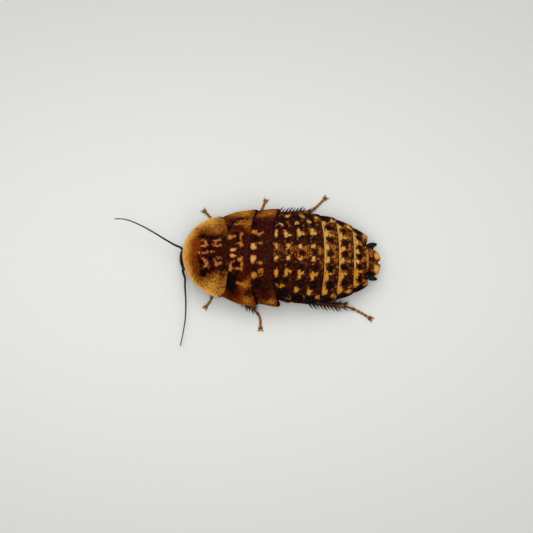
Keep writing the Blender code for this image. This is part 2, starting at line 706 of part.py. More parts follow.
def make_leg(name, hip, trochanter, knee, ankle, foot):
    """Coxa, femur, spined tibia and clawed foot, each starting clear of the one before it."""
    pair, side = name.split("_")
    scale = LEG_SCALES[pair]
    hip, trochanter, knee, ankle = mm(hip), mm(trochanter), mm(knee), mm(ankle)
    to_knee = (knee - trochanter).normalized()
    to_ankle = (ankle - knee).normalized()
    to_foot = (mm(foot[0]) - ankle).normalized()
    femur_start = trochanter + to_knee * clearance(hip - trochanter, to_knee, COXA_RADII.x * scale)
    tibia_start = knee + to_ankle * (FEMUR_RADII.x * scale * KNEE_SHARE + GAP)
    foot_start = ankle + to_foot * FOOT_START
    bends_away = math.sin(to_foot.angle(to_ankle)) > SPUR_BEND
    spurs = SPUR_ANGLES[1:] if bends_away else SPUR_ANGLES
    return [
        limb(f"{name}_coxa", hip, trochanter, COXA_SHAPE, COXA_RADII * scale, 10),
        limb(f"{name}_femur", femur_start, knee, FEMUR_SHAPE, FEMUR_RADII * scale),
        make_tibia(f"{name}_tibia", tibia_start, ankle, pair, SIDES[side], spurs),
        make_foot(f"{name}_tarsus", [foot_start, *[mm(p) for p in foot]]),
    ]


def clearance(back, onward, radius):
    """How far along a limb the next segment starts, so that it stays clear of the bend."""
    turn = back.angle(onward)
    return (0.62 * radius + GAP + 0.42 * radius * math.cos(turn)) / math.sin(turn)


def make_tibia(name, start, end, pair, sign, spurs):
    """A slender shank with rows of spines that lean towards the foot, and spurs at its end."""
    scale = LEG_SCALES[pair]
    radius = TIBIA_RADIUS * scale
    tibia = limb(name, start, end, TIBIA_SHAPE, Vector((radius, radius)))
    along = (end - start).normalized()
    across = along.cross(UP).normalized()
    upward = across.cross(along)
    outward = across if across.y * sign > 0 else -across

    def spine(place, angle, lean, size):
        tilt = math.radians(angle)
        side = outward * math.cos(tilt) + upward * math.sin(tilt)
        root = start.lerp(end, place) + side * radius * SPINE_SEAT
        length = SPINE_LENGTH * scale * size
        return cone(root, (side + along * lean).normalized(), length, SPINE_RADIUS * scale)

    spines = []
    for first, share, size, angle in SPINE_ROWS:
        number = max(2, round(SPINE_COUNTS[pair] * share))
        for i in range(number):
            zigzag = SPINE_ZIGZAG if i % 2 else -SPINE_ZIGZAG
            varied = size * (0.9 + SPINE_UNEVENNESS * math.sin(2.1 * i))
            place = first + SPINE_SPAN * i / number
            spines.append(spine(place, angle + zigzag, SPINE_LEAN, varied))
    spines += [spine(SPUR_PLACE, angle, SPUR_LEAN, SPUR_SIZE) for angle in spurs]
    return joined(tibia, spines)


def make_foot(name, points):
    """Five joints that swell towards their ends and lie flat on the ground, then two claws."""
    shares, radii = [], []
    for start, end in zip(FOOT_JOINTS, FOOT_JOINTS[1:]):
        for along, swell in FOOT_JOINT_SHAPE:
            shares.append(start + (end - start) * along)
            radii.append((FOOT_RADIUS * swell, FOOT_RADIUS * swell))
    centres = [on_route(points, share) for share in shares]
    rings = tube_rings(centres, radii, 8)
    for ring in rings:
        for point in ring:
            point.z = max(0.0, point.z)
    foot = loft(name, rings)
    ahead = points[-1] - points[-2]
    ahead.z = 0
    ahead.normalize()
    across = ahead.cross(UP)
    root = points[-1] - ahead * CLAW_SINK
    claws = []
    for side in (RIGHT, LEFT):
        lean = (across * side * CLAW_SPLAY + ahead * CLAW_REACH - UP * CLAW_DIP).normalized()
        claws.append(cone(root, lean, CLAW_LENGTH, CLAW_RADIUS))
    return joined(foot, claws)


def main():
    clear_scene()
    home = bpy.data.collections.new("discoid_roach")
    bpy.context.scene.collection.children.link(home)
    stand = bpy.data.objects.new("stance", None)
    home.objects.link(stand)
    stand.location = STANCE
    head, eyes = make_head()
    dressed = [(make_pronotum(), SHIELD), (head, DARK), (make_abdomen(), BELLY)]
    dressed += [(obj, BACK) for obj in make_back_plates() + make_tail_plates()]
    dressed += [(obj, BELLY) for obj in make_thorax()]
    dressed += [(obj, EYE) for obj in eyes]
    dressed += [(obj, DARK) for obj in [make_mouth(), *make_feelers()]]
    for name, joints in LEGS.items():
        dressed += [(obj, LEG) for obj in make_leg(name, *joints)]
    for obj, finish in dressed:
        finish_object(obj, finish, home)
        obj.parent = stand


main()
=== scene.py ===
"""The looks of the discoid roach: patterned plates, head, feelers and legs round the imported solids.

Shapes are worked out in body coordinates, in millimetres: the head is towards -X, the animal's right
towards +Y, and y = 0 is the axis of the thorax. A mesh gets its place on the ground when it is made.
"""

import math

import bmesh
import bpy
import numpy as np
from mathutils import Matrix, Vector

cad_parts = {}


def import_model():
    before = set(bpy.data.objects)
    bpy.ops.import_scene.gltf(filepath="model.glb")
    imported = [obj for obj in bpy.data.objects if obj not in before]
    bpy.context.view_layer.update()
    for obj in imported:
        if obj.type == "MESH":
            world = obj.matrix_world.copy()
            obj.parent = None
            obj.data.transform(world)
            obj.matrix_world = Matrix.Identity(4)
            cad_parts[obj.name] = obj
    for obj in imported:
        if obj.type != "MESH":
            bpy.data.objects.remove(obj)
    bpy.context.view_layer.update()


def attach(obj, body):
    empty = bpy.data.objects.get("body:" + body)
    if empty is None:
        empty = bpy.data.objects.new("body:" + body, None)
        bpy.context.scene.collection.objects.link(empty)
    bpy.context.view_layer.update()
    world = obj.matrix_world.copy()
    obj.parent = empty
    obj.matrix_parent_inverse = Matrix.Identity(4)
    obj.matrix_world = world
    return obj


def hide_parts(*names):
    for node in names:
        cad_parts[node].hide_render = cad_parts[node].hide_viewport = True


MM = 0.001
STANCE = np.array((0.15, 2.1, 0.0))
UP = np.array((0.0, 0.0, 1.0))
SIDES = {"right": 1, "left": -1}
BODY = "root"

# Margins of the dorsal plates. Each starts a seam behind the one before and a step below it.
PLATE_STEP = 0.28
SEAM = 0.36
PRONOTUM_FRONT = -13.15
PRONOTUM_CORNER = -4.9
PRONOTUM_HIND = -3.8
PRONOTUM_HALF_WIDTH = 8.42
PRONOTUM_BLUNTNESS = 1.11
CORNER_RADIUS = 1.5
CORNER_ROUNDING = 0.32
MESONOTUM_HIND = 0.5
METANOTUM_HIND = 4.95
PAD_LENGTH = 1.85
MESONOTUM_PAD = (MESONOTUM_HIND, 1.5, 3)
METANOTUM_PAD = (METANOTUM_HIND, 6.0, 3.2)
PAD_MIDDLES = {"mesonotum": -1.0, "metanotum": 4.0}
PAD_DEPTHS = {"mesonotum": 4.3, "metanotum": 4.1}
PAD_ROUNDING = 0.45
PAD_FREE_STRIP = 0.12
RIGHT_FLARE = 0.12
LEFT_FLARE = 0.42
TERGITE_HINDS = (7.4, 9.85, 12.45, 15.3, 18.25, 21.25, 24.2)
LAST_TERGITE_DIP = (2.9, 0.8, 0.45)
TERGITE_CURVES = (3.4, 1.5, 1.4, 1.0, 0.75, 0.3, 0.25)
CORNER_REACH = 0.2
SIDE_NOTCH = 0.16
TAIL_BAND_HIND = 24.9
TAIL_BAND_REACH = 0.5
TERGITE_1_REACH = 0.7
PAD_TUCK = 0.5
TAIL_TIP = 26.6
TAIL_NOTCH = 0.45
TAIL_NOTCH_SHARE = 0.13
TAIL_PLATE_HALF_WIDTH = 2.6
TAIL_PLATE_ROUNDING = 1.45
TAIL_PLATE_EDGE = 3.75
TAIL_PLATE_RISE = 1.75

# Half width, height of the side edge, and rise from the edge to the ridge, along the body.
HALF_WIDTHS = ((-5.0, 8.42), (-3.0, 9.05), (0.0, 9.5), (3.0, 9.8), (6.5, 9.75), (14.5, 9.1),
               (17.5, 8.5), (20.0, 7.5), (22.5, 6.2), (24.6, 4.65), (27.0, 2.7))
ABDOMEN_HALF_WIDTHS = ((4.0, 9.0), (7.0, 9.3), (10.0, 9.4), (14.5, 9.1), (17.5, 8.5),
                       (20.0, 7.5), (22.5, 6.2), (24.6, 4.65), (27.0, 2.7))
EDGE_HEIGHTS = ((-13.0, 4.3), (-9.0, 4.05), (-4.0, 4.0), (12.0, 3.95), (20.0, 3.85), (27.0, 3.7))
RISES = ((-14.0, 4.3), (-4.0, 4.5), (0.0, 4.65), (6.0, 4.8), (11.0, 4.75), (15.0, 4.4),
         (18.5, 3.8), (21.5, 3.05), (24.5, 2.1), (27.0, 1.3))
ARCH_POWER = 0.94
HEAD_SWING = 0.4
TAIL_SWING = -0.95
SWING_FROM = 5.0

# Shells: thickness inside, at the free lip, and how far a plate reaches under the one before.
PLATE_THICKNESS = 0.46
LIP_THICKNESS = 0.24
LIP_FROM = 0.6
LIP_TO = 1.8
UNDERLAP = 1.1
RIM_ROUNDING = 0.16
GRID_STEP = 0.095
SIDE_ROUNDING = 0.25

# Relief of the plates. A bead or a groove: distance from the edge, half width and height.
SHIELD_RIM_BEAD = (0.22, 0.16, 0.07)
SHIELD_RIM_GROOVE = (0.7, 0.3, -0.06)
SHIELD_HIND_BEAD = (0.2, 0.15, 0.03)
MASK_DEPTH = 0.03
PAD_HIND_BEAD = (0.2, 0.16, 0.05)
PAD_SIDE_BEAD = (0.2, 0.15, 0.05)
PAD_FOLD = (0.0, 0.22, -0.07)
PAD_FOLD_SHARES = (0.62, 0.16)
VEIN_HEIGHT = 0.02
VEIN_CROWDING = 46
TERGITE_HIND_BEAD = (0.16, 0.12, 0.05)
TERGITE_GROOVE = (0.95, 0.18, -0.04)
CRENELS = (0.24, 0.1, 0.03)
CRENEL_PITCH = 0.42
TAIL_FURROW = (0.0, 0.3, -0.16)

# Unevenness of the plates: height, width of the hollows and seed.
SHIELD_RIPPLE = (0.025, 1.1, 3)
PAD_RIPPLE = (0.03, 1.3, 5)
TERGITE_RIPPLE = (0.02, 0.6, 10)
TAIL_BAND_RIPPLE = (0.02, 0.5, 31)
TAIL_RIPPLE = (0.03, 0.6, 41)

# Marks on the shield, as (place, aside, half length, half width), and a turn in degrees on some others.
SHIELD_MAROON = ((-6.6, 0.1, 2.75, 3.9), (-8.9, 3.7, 0.65, 0.65), (-8.8, -3.65, 0.8, 0.75),
                 (-4.6, 0.2, 1.0, 4.2), (-9.6, -1.2, 0.4, 1.2))
SHIELD_BLACK = ((-9.05, 3.75, 0.5, 0.45), (-8.2, 3.55, 0.7, 0.28), (-8.95, -3.75, 0.62, 0.64),
                (-8.1, -3.6, 1.0, 0.36), (-7.4, 1.0, 0.5, 0.45), (-5.78, 2.1, 0.26, 0.2),
                (-5.7, -1.5, 0.3, 0.24), (-7.35, -3.0, 0.5, 0.3), (-4.6, -2.8, 0.5, 0.7),
                (-7.3, -0.9, 0.45, 0.5), (-9.2, -1.9, 0.35, 0.6), (-9.0, 0.75, 0.4, 0.22),
                (-7.2, 3.1, 0.4, 0.3), (-4.7, 3.0, 0.5, 0.4), (-5.2, 8.2, 0.6, 0.45),
                (-5.2, -8.2, 0.65, 0.5))
SHIELD_PALE = ((-8.45, 2.35, 0.36, 0.42), (-8.95, 1.6, 0.38, 0.25), (-8.2, 1.75, 0.3, 0.3),
               (-8.95, 2.75, 0.3, 0.16), (-6.45, 2.55, 0.34, 0.24), (-6.6, 1.75, 0.36, 0.22),
               (-5.95, 1.45, 0.4, 0.22), (-5.6, 2.75, 0.3, 0.26), (-5.45, 1.6, 0.22, 0.26),
               (-6.35, 2.1, 0.25, 0.3), (-8.95, -1.05, 0.3, 0.22), (-8.55, -1.5, 0.36, 0.26),
               (-8.2, -2.0, 0.3, 0.34), (-8.5, -2.6, 0.26, 0.24), (-7.8, -2.75, 0.24, 0.22),
               (-6.5, -1.25, 0.36, 0.24), (-6.25, -2.2, 0.34, 0.4), (-5.75, -1.0, 0.4, 0.2),
               (-5.5, -2.05, 0.34, 0.24), (-6.4, -1.7, 0.22, 0.35), (-8.6, 0.12, 0.75, 0.14),
               (-7.3, 0.35, 0.5, 0.14), (-9.6, 0.15, 0.4, 0.2))

# Marks on the two winged plates of the thorax. Cream ones have steep edges, so their middles are paler.
CREAM_STEEPNESS = 2.2
MESO_MAROON = ((-1.5, 0.0, 3.0, 4.7), (-2.0, -4.8, 1.5, 0.8), (0.6, -7.3, 1.1, 0.7),
               (-2.9, -7.1, 1.3, 1.1, 20), (-2.0, 7.35, 1.9, 0.3, 4), (-3.3, 6.2, 0.6, 0.7),
               (-2.2, 5.3, 1.6, 0.5))
MESO_BLACK = ((-3.65, 5.45, 0.6, 0.8), (-3.0, 6.7, 0.6, 0.4), (-3.45, -5.4, 1.25, 1.65),
              (-2.1, 2.7, 0.5, 0.5), (-2.1, 4.15, 0.42, 0.32), (-2.3, -2.2, 0.55, 0.45),
              (-2.3, -3.75, 0.6, 0.3), (-3.2, -6.9, 0.5, 0.7))
MESO_CREAM = ((-3.05, 0.62, 0.52, 0.4), (-2.6, 0.7, 0.38, 0.3), (-3.05, -0.52, 0.52, 0.4),
              (-2.6, -0.6, 0.38, 0.28))
MESO_PALE = ((-3.5, 3.35, 0.45, 0.5), (-2.75, 3.45, 0.4, 0.2), (-1.25, 1.7, 0.34, 0.6),
             (-1.75, 2.05, 0.4, 0.2), (-1.3, 3.9, 0.3, 0.35), (-1.4, 3.1, 0.2, 0.35),
             (-1.45, -1.3, 0.45, 0.5), (-1.2, -2.2, 0.22, 0.55), (-3.4, -2.9, 0.36, 0.6),
             (-2.2, -3.05, 0.55, 0.22), (-1.3, -3.2, 0.3, 0.4), (-2.95, -1.8, 0.3, 0.25),
             (-1.7, 6.25, 1.1, 0.15, -6), (-1.5, -5.8, 0.9, 0.15, -10))
# Gold patches near the pad rims: partly the pads' own gold, partly a painted highlight.
MESO_GOLD_HIGHLIGHT = ((-1.3, 8.7, 2.7, 1.0), (0.0, 6.2, 1.0, 0.9), (-0.9, 7.2, 1.5, 0.6), (0.0, -8.4, 1.0, 0.7),
             (-0.5, -6.0, 1.2, 0.9))
META_MAROON = ((3.1, 0.0, 3.4, 7.5), (2.2, -7.4, 1.7, 1.3), (3.4, -7.9, 1.8, 0.8), (2.0, 6.9, 1.2, 1.0))
# The last two black marks, at the hind corners of the pads, are painted shadow.
META_BLACK = ((1.6, 3.0, 0.75, 0.45), (1.4, 6.0, 0.5, 0.8), (1.3, -2.95, 0.55, 0.5),
              (1.7, -5.9, 0.8, 1.0), (6.2, 9.0, 0.4, 0.9), (6.2, -9.0, 0.4, 0.9))
# Gold patches near the pad rims: partly the pads' own gold, partly a painted highlight.
META_GOLD_HIGHLIGHT = ((4.6, 8.7, 1.7, 0.75), (4.4, -8.8, 1.5, 0.6), (3.0, 8.4, 1.3, 0.45))
META_CREAM = ((1.05, 1.32, 0.5, 0.8), (1.45, 1.1, 0.36, 0.42), (1.0, -1.24, 0.5, 0.88),
              (1.4, -1.02, 0.36, 0.5))
META_PALE = ((2.5, 1.95, 0.75, 0.2, 6), (1.2, 4.45, 0.58, 0.45), (2.3, 4.0, 0.45, 0.38),
             (2.85, 4.25, 0.3, 0.2), (1.2, -4.35, 0.6, 0.55), (2.5, -1.9, 0.6, 0.28),
             (2.6, -3.35, 0.32, 0.2), (2.3, -3.85, 0.2, 0.4), (2.9, -3.75, 0.18, 0.38))

# Rows of marks along the abdomen: share of the half width, place behind the front edge, half sizes.
# Rows with seven values have one for each tergite. The left side's outer marks are larger.
BLOCK_ROWS = ((0.138, 0.35, 0.32, 0.46), (0.47, 0.25, 0.36, 0.9))
SIDE_BLOCK = (0.735, 0.2, 0.4, 0.58)
BLOCK_BRANCH = (0.44, 0.85, 0.36, 0.24)
SPOT_ROWS = ((0.0, 0.85, 0.62, 0.62), (0.31, 0.85, 0.66, 0.62), (0.64, 0.9, 0.6, 0.62))
LEFT_SIDE_SPOT = (0.93, 0.6, 1.1, 0.75)
RIGHT_SIDE_SPOT = (0.865, 0.55, 0.95, 0.95)
SPREADS = (0.86, 0.9, 0.97, 1.03, 1.05, 1.07, 1.05)
SPOT_SIZES = (0.6, 0.74, 0.97, 1.08, 1.14, 1.12, 0.92)
SIDE_BLOCK_SIZES = (0.5, 0.85, 0.92, 1.0, 1.0, 1.0, 0.9)
SPOT_DELAYS = (0.5, 0.5, 0.6, 0.75, 1.0, 1.05, 0.9)
LIGHT_SHARES = (0.06, 0.22, 0.34, 0.44, 0.66, 0.72, 0.68)
PATTERN_SHIFTS = ((4.0, 0.05), (10.0, 0.2), (16.0, 0.4), (20.0, 0.4), (23.0, 0.2), (26.0, -0.4))
LEFT_GROWTH = 1.3
LEFT_SPOT_GROWTHS = (1.7, 1.7, 1.5, 1.3, 1.1, 1.0, 1.1)
BAND_FROM_TERGITE = 5
TAIL_BLACK = ((26.1, 0.0, 0.5, 0.3), (25.2, 2.5, 0.3, 0.4), (25.2, -2.5, 0.3, 0.4), (25.0, 0.6, 0.3, 0.5))
TAIL_PALE = ((25.8, 1.4, 0.8, 0.82), (25.1, 1.3, 0.3, 0.5))
TAIL_SHIFT = -0.35
CORNER_PALE_SHARE = 0.88
SPECKLED_STRIP = (0.05, 0.2, 0.78)
# Share of the pale speckles taken off the tergites' left side: painted shade.
LEFT_SHADE_SPECKLE_LOSS = 0.42

# The pale bands of the last tergites, measured from the hind edge of the plate before.
BAND_DEPTH = 0.34
BAND_REACH = 0.8

# Head, from the vertex in front to the mouth behind and below.
VERTEX = np.array((-13.2, 0.0, 2.5))
MOUTH = np.array((-9.9, -0.1, 1.15))
HEAD_SECTIONS = ((-0.145, 1.98, 0.94), (-0.08, 1.98, 0.97), (0.0, 2.02, 1.0), (0.12, 2.05, 1.05),
                 (0.32, 2.0, 1.05), (0.52, 1.76, 0.97), (0.7, 1.36, 0.84), (0.85, 1.05, 0.7),
                 (0.97, 0.8, 0.55), (1.03, 0.66, 0.45))
HEAD_CAP = 0.75
HEAD_HIND_ROUNDING = 0.35
EYE_SEMI_AXES = (1.06, 0.6, 0.84)
EYE_ALONG = 0.24
EYE_OUT = 1.74
EYE_BACK = 0.08
EYE_SUBDIVISIONS = 5

# Feelers.
ANTENNA_ROUTES = {
    "right": ((-13.3, 2.1, 1.35), (-13.6, 2.35, 1.8), (-14.2, 2.5, 2.35), (-14.9, 2.75, 2.8),
              (-16.9, 3.87, 3.2), (-18.9, 5.06, 3.6), (-20.9, 6.15, 3.9), (-22.9, 7.06, 4.1),
              (-24.1, 7.5, 4.15), (-25.45, 7.76, 4.1), (-26.85, 7.8, 3.9)),
    "left": ((-13.1, -2.3, 1.35), (-13.0, -2.85, 1.75), (-12.8, -3.5, 2.15), (-12.6, -4.3, 2.5),
             (-12.62, -5.4, 2.8), (-12.5, -7.4, 3.05), (-12.4, -9.4, 3.15), (-12.5, -12.4, 2.95),
             (-12.95, -15.2, 2.4), (-13.5, -17.7, 1.6)),
}
ANTENNA_ROOT_RADIUS = 0.23
ANTENNA_TIP_RADIUS = 0.11
ANTENNA_JOINTS = 110
SCAPE_SEAT = (0.3, 1.12, 0.6)
SCAPE_ELBOW = np.array((-12.98, 1.62, 0.86))
SCAPE_RADIUS = 0.3
SCAPE_SHAPE = ((0.0, 0.62), (0.2, 0.8), (0.55, 1.0), (0.85, 1.0), (1.0, 0.8))
PEDICEL_RADIUS = 0.25
PEDICEL_SHAPE = ((0.0, 0.75), (0.15, 0.85), (0.5, 1.0), (0.85, 1.0), (1.0, 0.85))
NECK_END = (-10.2, 0.0, 4.0)
NECK_RADII = (1.25, 0.85)
NECK_SHAPE = ((0.0, 0.8), (0.2, 0.96), (0.3, 0.86), (0.42, 1.0), (0.55, 0.88), (0.7, 1.04), (1.0, 1.1))
PALP_ROUTE = ((-10.7, 1.5, 0.75), (-11.3, 1.9, 0.7), (-11.95, 2.05, 0.42), (-12.4, 1.95, 0.3))
PALP_RADIUS = 0.22
PALP_TIP_RADIUS = 0.15
LABIAL_PALP = ((1.1, 0.45, -0.42), (1.05, 0.75, -0.75), (0.95, 0.85, -0.95))
LABIAL_PALP_RADII = (0.13, 0.09)
LABIAL_PALP_JOINTS = 3
MOUTH_FLAPS = (("clypeus", 0.86, 0.5, (0.42, 0.78, 0.26)), ("labrum", 1.08, 0.3, (0.42, 0.66, 0.15)),
               ("labium", 1.06, -0.36, (0.5, 0.6, 0.14)))
MANDIBLE = ((0.88, 0.5, 0.0), (1.0, 0.6, 0.02), (1.12, 0.52, 0.0), (1.21, 0.28, -0.02),
            (1.24, 0.04, -0.02))
OCELLUS_SEAT = (0.27, 0.72, 0.93)
PALP_JOINTS = 5
CERCUS_ROOT = np.array((24.0, 2.85, 2.97))
CERCUS_TIP = np.array((25.95, 3.6, 2.9))
CERCUS_RADIUS = 0.68
CERCUS_TIP_RADIUS = 0.14
CERCUS_JOINTS = 9

# Forms of the jointed feelers: power of the taper, depth of the pinch at each joint, and swell.
FLAGELLUM_FORM = (0.7, 0.07, 0.014)
PALP_FORM = (1.0, 0.3, 0.03)
CERCUS_FORM = (2.8, 0.05, 0.018)

# Legs: hip, trochanter, knee and ankle, then the foot's route.
FOOT_LEVEL = 0.22
LEGS = {
    "front_right": ((-8.2, 2.4, 3.62), (-5.0, 2.6, 1.9), (-7.8, 5.8, 2.9), (-6.6, 7.5, 0.95),
                    ((-7.7, 8.95, FOOT_LEVEL), (-8.9, 10.25, FOOT_LEVEL))),
    "front_left": ((-8.2, -2.4, 3.62), (-5.0, -2.6, 1.9), (-7.6, -5.3, 2.9), (-6.9, -6.7, 0.95),
                   ((-7.6, -8.4, FOOT_LEVEL), (-8.55, -9.68, FOOT_LEVEL))),
    "middle_right": ((-3.6, 3.2, 3.62), (-0.2, 2.9, 1.9), (-2.4, 7.5, 2.8), (1.9, 8.6, 1.0),
                     ((2.9, 10.7, FOOT_LEVEL), (3.6, 12.35, FOOT_LEVEL))),
    "middle_left": ((-3.6, -3.2, 3.62), (-0.2, -2.9, 1.9), (-2.6, -7.4, 2.8), (1.1, -10.05, 1.0),
                    ((2.4, -11.7, FOOT_LEVEL), (2.55, -14.1, FOOT_LEVEL))),
    "hind_right": ((1.3, 3.7, 3.62), (6.4, 2.3, 1.75), (3.7, 9.0, 2.3), (12.4, 9.6, 1.1),
                   ((14.1, 11.25, FOOT_LEVEL), (15.75, 12.9, FOOT_LEVEL))),
    "hind_left": ((1.3, -3.7, 3.6), (6.4, -2.3, 1.65), (10.4, -8.7, 2.0), (19.55, -9.5, 1.1),
                  ((22.3, -10.5, FOOT_LEVEL), (24.8, -12.0, FOOT_LEVEL))),
}
LIMB_CROWDING = 0.85
LIMB_CAP = 0.9
LEG_SCALES = {"front": 0.84, "middle": 0.92, "hind": 1.0}
COXA_RADII = (1.6, 0.75)
FEMUR_RADII = (0.8, 0.64)
TIBIA_RADIUS = 0.54
FOOT_RADIUS = 0.275
FOOT_TIP_FLARE = 0.62
COXA_SHAPE = ((-0.04, 0.55), (0.04, 0.85), (0.25, 1.0), (0.55, 0.86), (0.85, 0.52), (0.97, 0.4),
              (1.06, 0.34))
FEMUR_SHAPE = ((-0.06, 0.5), (0.05, 0.7), (0.25, 1.0), (0.55, 0.98), (0.85, 0.8), (0.97, 0.74),
               (1.06, 0.6))
TIBIA_SHAPE = ((-0.04, 0.6), (0.03, 0.8), (0.2, 0.82), (0.6, 0.92), (0.93, 1.1), (1.02, 0.85))
TROCHANTER_SHAPE = ((0.0, 0.85), (0.4, 1.0), (1.0, 0.8))
TROCHANTER_RADII = (0.56, 0.52)
FOOT_JOINT_SHAPE = ((0, 0.6), (0.1, 0.74), (0.55, 0.86), (0.88, 1.1), (1, 0.62))
FOOT_ROUNDING = 0.2
FOOT_PAD_RADII = (0.2, 0.17, 0.075)
AROLIUM_RADII = (0.27, 0.38, 0.13)
CLAW_RADIUS = 0.13
CLAW_SPACING = 0.2
FOOT_JOINTS = (0.0, 0.36, 0.52, 0.65, 0.76, 1.0)
SPINE_COUNTS = {"front": 4, "middle": 6, "hind": 9}
SPINE_ROWS = ((0.16, 1.0, 1.0, 0), (0.21, 0.7, 0.85, 100), (0.18, 0.8, 0.85, 180), (0.25, 0.5, 0.7, 235))
SPINE_SPAN = 0.76
SPINE_ZIGZAG = 8
SPINE_LEAN = 0.75
SPINE_LENGTH = 1.45
SPINE_RADIUS = 0.22
SPINE_PARTS = (("spines", SPINE_LENGTH, SPINE_RADIUS, "spine"), ("spine_sockets", 0.17, 0.19, "socket"))
SPUR_PLACE = 0.965
SPUR_LEAN = 1.25
SPUR_SIZE = 0.8
SPUR_ANGLES = (15, 62, 110, 165, 215, 325)
LEG_HAIRS = (5.0, 0.3, 0.013)
BELLY_HAIRS = (1.2, 0.34, 0.012)
BELLY_HAIR_LEAN = (1.6, 0.0, 0.0)
BELLY_HAIR_SEED = 11

# Trunk under the plates.
THORAX_STATIONS = ((-11.6, 1.3), (-11.2, 1.5), (-9.7, 2.6), (-8.0, 3.6), (-6.0, 4.4), (-4.0, 4.9),
                   (-2.2, 5.3), (-0.7, 5.5), (0.6, 5.7), (2.2, 6.1), (3.5, 6.5), (5.2, 6.9))
TRUNK_PIECES = {"prothorax": (-11.4, -3.8), "mesothorax": (-3.95, 0.8), "metathorax": (0.65, 5.4)}
THORAX_DROP = 1.4
THORAX_BELLY = 4.25
NECK_DROP = 0.75
NECK_FROM = 0.4
TRUNK_INSET = 1.15
TRUNK_NARROWS = 23.0
TRUNK_NARROWING = 0.75
TRUNK_GAP = 1.26
STERNITE_HINDS = (7.2, 9.9, 12.6, 15.4, 18.3, 21.3, 25.4)
STERNITE_STEP = 0.26
BELLY_HEIGHTS = ((5.0, 3.45), (7.5, 3.0), (10.0, 2.75), (14.0, 2.6), (18.0, 2.65), (22.0, 2.8),
                 (24.5, 2.85), (26.0, 2.95))
BELLY_SIDE_HEIGHT = 3.0

# Colours of the real animal, as screen values from 0 to 255.
AMBER = (140, 66, 3)
GOLD = (200, 142, 52)
HONEY = (120, 56, 5)
LOBE = (122, 52, 4)
HIND_LOBE = (98, 40, 3)
# GILT: gold of the pad rims, partly a painted highlight, and the painted deeper gold of the tergites' shaded
# left side.
GILT = (192, 126, 34)
RUST = (90, 30, 3)
BROWN = (72, 27, 4)
MAROON = (52, 10, 2)
DARK = (26, 5, 2)
BLACK = (13, 4, 2)
TAN = (182, 116, 32)
STRAW = (210, 152, 66)
CREAM = (206, 158, 90)
ROSY = (164, 84, 38)
RIM = (214, 174, 114)
OLIVE = (112, 74, 28)
# The floor: its tone in the middle and at the edge, with a painted pool of light round a centre in
# millimetres, stretched by a shape and fading between two distances.
BACKDROP = (221, 223, 221)
BACKDROP_PAINTED_SHADE = (195, 197, 193)
PAINTED_POOL_CENTRE = (-7.8, 2.8, 0.0)
PAINTED_POOL_STRETCH = (0.55, 1.0, 1.0)
PAINTED_POOL_FADE = (3.0, 90.0)
FLOOR_HALF_WIDTH = 0.6

# Lamps: name, place in metres, size, power and colour. The room glows more on the animal's right.
LAMPS = (("window", (0.02, 0.31, 0.53), 0.5, 1.2, (1.0, 0.99, 0.97)),
         ("ceiling", (-0.05, -0.13, 0.62), 0.4, 1.3, (1.0, 0.98, 0.95)),
         ("fill", (0.08, -0.4, 0.34), 0.4, 0.6, (1.0, 0.97, 0.93)))
ROOM_COLOUR = (1.0, 0.995, 0.985, 1)
ROOM_GLOW = {"From Min": -0.9, "From Max": 0.8, "To Min": 0.3, "To Max": 0.64}

# Looks of plain parts: material, two colours, grain, roughness, coat, colour of the spots, and seep.
PLAIN_LOOKS = {
    "belly": ("belly_cuticle", (120, 62, 26), (84, 38, 16), 1.4, 0.34, 0.35, DARK, 0.05),
    "membrane": ("membrane", (150, 112, 68), (108, 70, 38), 0.5, 0.5, 0.0, None, 0.1),
    "spine": ("spine_horn", (70, 16, 8), (38, 8, 4), 0.5, 0.25, 0.1),
    "claw": ("claw_horn", (150, 96, 44), (96, 48, 20), 0.3, 0.22, 0.5),
    "pad": ("pad_skin", (176, 140, 88), (138, 100, 54), 0.3, 0.55, 0.0, None, 0.2),
    "head": ("head_cuticle", (26, 9, 5), (12, 4, 3), 0.9, 0.3, 0.12),
    "joint": ("socket_rim", (96, 52, 22), (60, 28, 12), 0.4, 0.35, 0.1),
    "palp": ("palp_cuticle", (164, 104, 50), (128, 72, 30), 0.5, 0.36, 0.1),
    "face": ("face_cuticle", (122, 74, 36), (78, 38, 18), 0.5, 0.35, 0.12),
    "eye": ("eye_facets", (10, 6, 6), (4, 3, 4), 0.3, 0.16, 0.35),
    "cercus": ("cercus_cuticle", (14, 6, 4), (26, 10, 6), 0.4, 0.35, 0.05),
    "hair": ("hair", (150, 96, 48), (104, 58, 26), 0.4, 0.4, 0.1),
    # Granules are paler than the cuticle round them so that they read as small glints: a painted glint on
    # real glossy domes.
    "granule": ("granule", (176, 118, 52), (120, 64, 26), 0.5, 0.2, 0.4),
    "socket": ("spine_socket", (40, 16, 8), (26, 11, 6), 0.3, 0.3, 0.4),
    "ocellus": ("ocellar_spot", (222, 188, 116), (200, 160, 90), 0.3, 0.3, 0.4),
}

# Looks of limbs: material, colours of root, middle and tip, where they change, roughness, rings.
LIMB_LOOKS = {
    "coxa": ("coxa_cuticle", (112, 60, 22), (92, 44, 15), (64, 24, 8), (0.4, 0.85)),
    "femur": ("femur_cuticle", (112, 54, 16), (92, 38, 12), (54, 18, 6), (0.45, 0.86)),
    "tibia": ("tibia_cuticle", (28, 9, 4), (48, 15, 6), (112, 66, 24), (0.35, 0.86)),
    "tarsus": ("tarsus_cuticle", OLIVE, (168, 112, 34), (96, 56, 20), (0.3, 0.9), 0.42, True),
}

